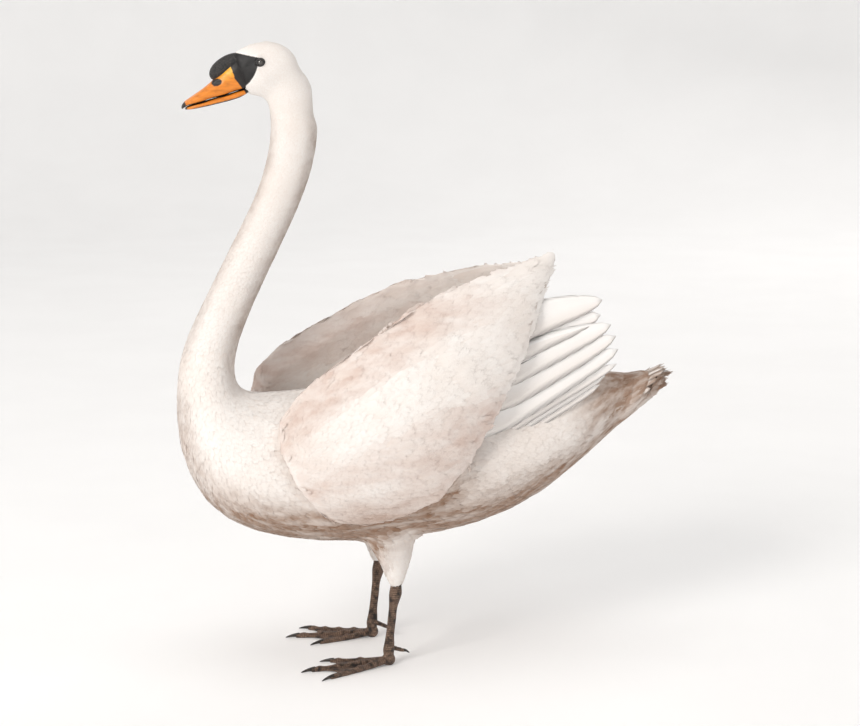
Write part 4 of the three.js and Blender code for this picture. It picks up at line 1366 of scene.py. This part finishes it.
def billFinish():
    # orange with a black base, nostril, cutting edge and nail; lengths are in mm
    paint = Finish("bill_horn", Specular_IOR_Level=0.5)
    u, v = headPlace(paint.y, paint.z)
    wander = (paint.noise(paint.place, 260.0, 2.0) - 0.5) * 4.0  # each black edge strays by about this
    back = (44.0 - (-12.0 - v).atLeast(0.0) * 0.36 + wander * 0.7 - u).ramp(-0.6, 0.9)
    nu, nv, ru, rv = billShape["nostril"]
    du, dv = (u - nu) * (1 / ru), (v - nv - 1.5) * (1 / (rv + 2.2))
    nostril = (du * du + dv * dv + wander * 0.16).ramp(1.5, 0.9)
    knobSide = ((v - 4.5 + (u - 60.0) * 0.62) + wander * 0.5).ramp(-0.8, 0.8)
    knobSide = knobSide * u.ramp(52.0, 56.0) * (u - nu + wander * 0.6).ramp(1.0, -1.5)
    seam = v + 31.3 - (u - 30.0) * 0.035
    edge = abs(seam - 0.3 - (u * 0.17).wave() * 0.5 + wander * 0.35).ramp(2.3, 1.3)
    chin = (v + 41.0 - (u - 55.0).atLeast(0.0) * 0.085 + wander * 0.4).ramp(2.4, 1.2)
    edge = edge.atLeast(chin)
    nail = (u - 126.5 + wander * 0.5).ramp(-0.8, 1.2)
    black = back.atLeast(nostril).atLeast(knobSide).atLeast(edge).atLeast(nail)
    glow = (v + 16.0).ramp(0.0, 22.0) * (80.0 - u).ramp(0.0, 30.0)
    orange = paint.mixed(glow, billColours["orange"], billColours["yellow"])
    blots = paint.noise(paint.stretched((220, 60, 220)), 1.0, 4.0).ramp(0.42, 0.75)
    orange = paint.mixed(blots * 0.55, orange, billColours["stain_and_shade"])
    paint.feed("Base Color", paint.mixed(black, orange, billColours["black"]))
    paint.feed("Roughness", black * 0.12 + 0.34)
    grain = paint.noise(paint.stretched((500, 120, 500)), 1.0, 3.0)
    pores = paint.noise(paint.place, 900.0, 4.0) * 0.6 + grain
    paint.bump(pores, 0.0007, 0.45)
    return paint.material


def knobFinish():
    paint = Finish("bill_knob_skin", Specular_IOR_Level=0.5)
    wrinkles = paint.noise(paint.place, 330.0, 5.0, 0.65)
    dark, worn = rgb(0.006, 0.006, 0.006), rgb(0.045, 0.04, 0.038)
    paint.feed("Base Color", paint.mixed(wrinkles.ramp(0.35, 0.7), dark, worn))
    paint.feed("Roughness", wrinkles * 0.25 + 0.32)
    paint.bump(wrinkles, 0.003, 0.8)
    return paint.material


eye = {
    "radius": 7.0, "side": 25.0, "pupil": 1.9, "iris": 3.6,
    "bulge": 0.9, "bulgeWidth": 0.22,  # of the cornea
    # the lids' profile: how far from the eye's middle, and how far from the bird's middle plane
    "lids": [
        (3.5, 29.8), (3.95, 31.15), (4.2, 31.45), (4.65, 31.4), (4.9, 31.0), (5.1, 30.95), (5.6, 30.9),
        (6.3, 30.0), (7.2, 28.4), (7.6, 26.0), (4.2, 25.0),
    ],
    "corner": 0.16, "cornerDrop": 0.35, "creases": 17, "crease": 0.12, "creaseFrom": 4.4,
}


def makeEye(side):
    bm = bmesh.new()
    bmesh.ops.create_uvsphere(bm, u_segments=40, v_segments=26, radius=1.0)
    radius = eye["radius"]
    for vert in bm.verts:
        # the poles lie across the head
        x, v, u = vert.co.z * side, vert.co.y, vert.co.x
        bulge = math.exp(-((u * u + v * v) / eye["bulgeWidth"])) * (x * side > 0)
        out = 1 + eye["bulge"] / radius * bulge
        vert.co = headPoint(side * eye["side"] + x * radius * out, u * radius, v * radius)
    return newMesh("eyeball", bm, outwards=True)


def makeLids(side):
    # a rim of bare skin that follows the eyeball, drawn out to a corner in front
    rings, count = [], 56
    for k in range(count):
        angle = 2 * math.pi * k / count
        fromCorner = math.atan2(math.sin(angle + 0.35), math.cos(angle + 0.35))
        corner = math.exp(-(fromCorner / 0.32) ** 2)
        ring = []
        for reach, x in eye["lids"]:
            crease = eye["crease"] * math.sin(angle * eye["creases"]) * (reach > eye["creaseFrom"])
            u = reach * math.cos(angle) * 1.04 * (1 + eye["corner"] * corner)
            v = reach * math.sin(angle) * 0.9
            ring.append(headPoint(side * (x - eye["cornerDrop"] * corner + crease), u, v))
        rings.append(ring)
    bm = bmesh.new()
    addRows(bm, rings, closed=True)
    return newMesh("lids", bm, outwards=True)


def eyeFinish():
    paint = Finish("eye_wet", Roughness=0.06, Specular_IOR_Level=0.6, Coat_Roughness=0.02, Coat_Weight=1.0)
    u, v = headPlace(paint.y, paint.z)
    reach = (u * u + v * v) ** 0.5
    rays = paint.noise(paint.place, 1500.0, 2.0) * 0.9
    iris = paint.mixed((reach + rays).ramp(2.2, 4.2), rgb(0.10, 0.085, 0.075), rgb(0.028, 0.022, 0.018))
    pupil = reach.ramp(eye["pupil"] + 0.15, eye["pupil"] - 0.15)
    dark = pupil.atLeast(reach.ramp(eye["iris"], eye["iris"] + 0.3))
    paint.feed("Base Color", paint.mixed(dark, iris, rgb(0.004, 0.004, 0.004)))
    return paint.material


billPaint, knobPaint, eyePaint = billFinish(), knobFinish(), eyeFinish()
addPiece("bill_upper_horn", makeBill("upper", 72, 48, 1.0, 0.55), billPaint, ["bill_upper"])
addPiece("bill_lower_horn", makeBill("lower", 44, 36, 0.6, 1.0), billPaint, ["bill_lower"])
addPiece("bill_knob_skin", makeBill("knob", 40, 40, 0.9, 0.9), knobPaint, ["bill_knob"])
for side, name in ((1, "left"), (-1, "right")):
    addPiece(f"eyeball_{name}", makeEye(side), eyePaint, [f"eye_{name}"])
    addPiece(f"lids_{name}", makeLids(side), knobPaint)
print("bill and eyes are on")


# legs
leg = {
    "side": 0.074, "shift": {1: -0.003, -1: -0.008}, "jointY": -0.072, "toeOut": 9, "voxel": 0.95 * mm,
    "tarsus": [  # z, y, across, fore and aft, in mm
        (139, -59.5, 6.2, 7.2), (127, -60, 7.6, 9.0), (115, -61, 8.6, 10.2), (106, -62.5, 7.2, 8.8),
        (98, -64, 5.9, 7.4), (72, -67, 5.4, 6.8), (46, -70, 5.8, 7.0), (34, -71, 7.2, 8.2),
        (25, -72, 8.2, 9.0), (12, -72, 7.0, 7.6),
    ],
    # turn, length, radius
    "toes": {"inner": (-25, 96, 6.8), "middle": (-2, 128, 7.4), "outer": (20, 116, 6.8)},
    "knuckles": {"inner": (0.5, 0.86), "middle": (0.38, 0.66, 0.9), "outer": (0.3, 0.53, 0.74, 0.92)},
    "heel": {"radius": 10.6 * mm, "z": 9 * mm},
    "webThick": 1.3 * mm, "webRows": 26, "webColumns": 16,
    "scute": 3.6, "scuteHigh": 0.45 * mm,  # the length of one in mm, and its relief
    "footTop": 0.026,
    "claw": 23 * mm, "hindClaw": 11 * mm,
}
hindToe = {
    "heading": Vector((-0.3, 1, 0)).normalized(), "in": 6 * mm, "back": 6 * mm, "z": 27 * mm,
    "length": 24, "drop": 9 * mm, "root": 4.6, "tip": 2.7,
}
upwards = Vector((0, 0, 1))


def toeHeading(turn):
    heading = math.radians(leg["toeOut"] + turn)
    return Vector((math.sin(heading), -math.cos(heading), 0))


def toeRadius(name, s):
    _, _, radius = leg["toes"][name]
    swell = sum(math.exp(-((s - k) / 0.045) ** 2) for k in leg["knuckles"][name])
    return radius * mm * (1 - 0.42 * s) * (0.88 + 0.22 * swell)


def toeMiddle(name, s):
    turn, length, _ = leg["toes"][name]
    radius = toeRadius(name, s)
    middle = Vector((leg["side"], leg["jointY"], radius * 0.8 + 4.5 * mm * (1 - s) ** 3))
    return middle + toeHeading(turn) * (length * s - 2) * mm


def sideOf(heading):
    return Vector((-heading.y, heading.x, 0))


def addTube(bm, rings):
    rows = addRows(bm, rings)
    bm.faces.new(list(reversed(rows[0])))
    bm.faces.new(rows[-1])


def ringAt(middle, side, up, across, high, around=20):
    angles = [2 * math.pi * k / around for k in range(around)]
    return [middle + side * (across * math.cos(a)) + up * (high * math.sin(a)) for a in angles]


def webPoint(one, other, s, t):
    # a point of the skin between two toes: s runs out along them, t across from one to the other
    hang = 1 - 0.20 * math.sin(math.pi * t) * s ** 2  # the front edge hangs back
    point = toeMiddle(one, s * hang).lerp(toeMiddle(other, s * hang), t)
    point.z = 2.9 * mm + 3.0 * mm * (1 - s) ** 3
    crease = 0.35 * mm * math.sin(t * math.pi * 7) * math.sin(math.pi * t)
    return point, crease + 0.25 * mm * math.sin(s * 46 + 3 * t)


def addWeb(bm, one, other):
    # a closed plate, creased along its length on top
    rows, columns, thick = leg["webRows"], leg["webColumns"], leg["webThick"]
    top, bottom = [], []
    for r in range(rows):
        s = 0.04 + 0.93 * r / (rows - 1)
        upper, lower = [], []
        for c in range(columns + 1):
            point, crease = webPoint(one, other, s, c / columns)
            upper.append(bm.verts.new(point + upwards * (thick + crease)))
            lower.append(bm.verts.new(point - upwards * thick))
        top.append(upper)
        bottom.append(lower)
    for r in range(rows - 1):
        for c in range(columns):
            bm.faces.new((top[r][c], top[r + 1][c], top[r + 1][c + 1], top[r][c + 1]))
            bm.faces.new((bottom[r][c], bottom[r][c + 1], bottom[r + 1][c + 1], bottom[r + 1][c]))
    for r in range(rows - 1):
        bm.faces.new((top[r][0], bottom[r][0], bottom[r + 1][0], top[r + 1][0]))
        bm.faces.new((top[r][-1], top[r + 1][-1], bottom[r + 1][-1], bottom[r][-1]))
    for c in range(columns):
        bm.faces.new((top[0][c], top[0][c + 1], bottom[0][c + 1], bottom[0][c]))
        bm.faces.new((top[-1][c], bottom[-1][c], bottom[-1][c + 1], top[-1][c + 1]))


def hindStart():
    return Vector((leg["side"] - hindToe["in"], leg["jointY"] + hindToe["back"], 0))


def addHindToe(bm):
    heading = hindToe["heading"]
    start = hindStart() + upwards * hindToe["z"]
    rings = []
    for s in unitSteps(14):
        middle = start + heading * (hindToe["length"] * s - 3) * mm - upwards * (hindToe["drop"] * s)
        swell = 1 + 0.12 * math.exp(-((s - 0.75) / 0.12) ** 2)
        size = (hindToe["root"] + (hindToe["tip"] - hindToe["root"]) * s) * mm * swell
        rings.append(ringAt(middle, sideOf(heading), upwards, size, size))
    addTube(bm, rings)


def onFloor(co):
    co[:, 2] = np.maximum(co[:, 2], 0.0)
    return co


def makeLeg():
    # the left leg's bare skin: tarsus, joint, toes and webs closed into one surface
    bm = bmesh.new()
    x = leg["side"]
    rings = []
    for z, y, across, deep in smoothRows(leg["tarsus"], 40):
        middle = Vector((x, y * mm, z * mm))
        rings.append(ringAt(middle, Vector((1, 0, 0)), Vector((0, 1, 0)), across * mm, deep * mm))
    addTube(bm, rings)
    for name, (turn, _, _) in leg["toes"].items():
        side = sideOf(toeHeading(turn))
        addTube(bm, [
            ringAt(toeMiddle(name, s), side, upwards, toeRadius(name, s), toeRadius(name, s) * 0.95)
            for s in unitSteps(48)
        ])
    addWeb(bm, "inner", "middle")
    addWeb(bm, "middle", "outer")
    heel = Matrix.Translation((x, leg["jointY"], leg["heel"]["z"]))
    bmesh.ops.create_icosphere(bm, subdivisions=3, radius=leg["heel"]["radius"], matrix=heel)
    addHindToe(bm)
    mesh = remeshed(newMesh("leg", bm, outwards=True), leg["voxel"])
    co = onFloor(spread(mesh, coordinates(mesh), 5))
    setCoordinates(mesh, co)
    # scutes: rings round the toes and up the front of the tarsus
    normals = vertexNormals(mesh)
    plan = np.hypot(co[:, 0] - x, co[:, 1] - leg["jointY"])
    run = np.where(co[:, 2] < 0.024, plan, -co[:, 2]) * 1000
    ridge = np.abs(np.sin(run * math.pi / leg["scute"])) ** 0.6
    onToes = co[:, 2] < leg["footTop"]
    shown = smoothStep(normals[:, 2], 0.1, 0.8) * onToes + smoothStep(-normals[:, 1], 0.2, 0.8) * ~onToes
    setCoordinates(mesh, onFloor(co + normals * ((ridge - 0.7) * shown * leg["scuteHigh"])[:, None]))
    storeNumbers(mesh, "run", run)
    return mesh


def placedLeg(mesh, side):
    # the right leg is the left one's mirror image, set a little ahead
    placed = mesh.copy()
    co = coordinates(placed)
    co[:, 0] *= side
    co[:, 1] += leg["shift"][side]
    setCoordinates(placed, co)
    if side < 0:
        placed.flip_normals()
    return placed


def legFinish():
    paint = Finish("leg_scales", Specular_IOR_Level=0.4)
    sockets = {"Vector": paint.place, "Scale": 420.0, "Randomness": 0.85}
    cells = paint.add("ShaderNodeTexVoronoi", {"feature": "DISTANCE_TO_EDGE"}, sockets)
    grooves = cells.ramp(0.0, 0.16)
    blotches = paint.noise(paint.place, 110.0, 5.0).ramp(0.30, 0.62)
    rings = abs((paint.number("run") * (math.pi / leg["scute"])).wave()).ramp(0.1, 0.5)
    worn = grooves * rings * blotches
    dark = paint.mixed(blotches, rgb(0.016, 0.012, 0.010), rgb(0.075, 0.045, 0.032))
    paint.feed("Base Color", paint.mixed(worn * 0.75, dark, rgb(0.36, 0.235, 0.165)))
    paint.feed("Roughness", worn * 0.2 + 0.5)
    wrinkles = paint.noise(paint.place, 500.0, 5.0, 0.6)
    paint.bump(grooves * 0.8 + rings * 0.6 + wrinkles * 0.8, 0.0011, 0.8)
    return paint.material


def makeClaw(root, heading, length, radius, drop):
    side = sideOf(heading).normalized()
    rings = []
    for s in unitSteps(16):
        middle = root + heading * (length * s)
        middle.z = root.z - drop * s ** 2
        size = radius * (1 - s) ** 0.65 + 0.35 * mm
        up = (upwards + heading * (0.9 * s * drop / length)).normalized()
        rings.append(ringAt(middle, side, up, size * 0.75, size, 16))
    return loftedMesh("claw", rings)


def hornFinish():
    paint = Finish("claw_horn", Specular_IOR_Level=0.5)
    fibres = paint.noise(paint.stretched((700, 200, 700)), 1.0, 3.0)
    dark, worn = rgb(0.008, 0.007, 0.007), rgb(0.05, 0.038, 0.03)
    paint.feed("Base Color", paint.mixed(fibres.ramp(0.35, 0.7), dark, worn))
    paint.feed("Roughness", fibres * 0.3 + 0.25)
    paint.bump(fibres, 0.0005, 0.4)
    return paint.material


def makeClaws():
    claws = {}
    for name, (turn, length, radius) in leg["toes"].items():
        heading = toeHeading(turn)
        size = radius * 0.62
        root = Vector((leg["side"], leg["jointY"], (size * 0.9 + 0.6) * mm)) + heading * (length - 8) * mm
        claws[name] = makeClaw(root, heading, leg["claw"], size * 0.74 * mm, root.z - 0.6 * mm)
    hindRoot = hindStart() + upwards * (18.4 * mm) + hindToe["heading"] * 20 * mm
    claws["hind"] = makeClaw(hindRoot, hindToe["heading"], leg["hindClaw"], 2.5 * mm, 6 * mm)
    return claws


legMesh, clawMeshes = makeLeg(), makeClaws()
legPaint, hornPaint = legFinish(), hornFinish()
for side, name in ((1, "left"), (-1, "right")):
    bare = [f"{part}_{name}" for part in ("tarsus", "foot", "hind_toe")]
    addPiece(f"leg_{name}", placedLeg(legMesh, side), legPaint, bare)
    for claw, mesh in clawMeshes.items():
        placed = placedLeg(mesh, side)
        addPiece(f"horn_{claw}_{name}", placed, hornPaint, [f"claw_{claw}_{name}"])
print(f"legs are on: {triangleCount(legMesh)} triangles each")

for spareObject in (contourVane, smallVane, longVane, bodyHost):
    bpy.data.objects.remove(spareObject)
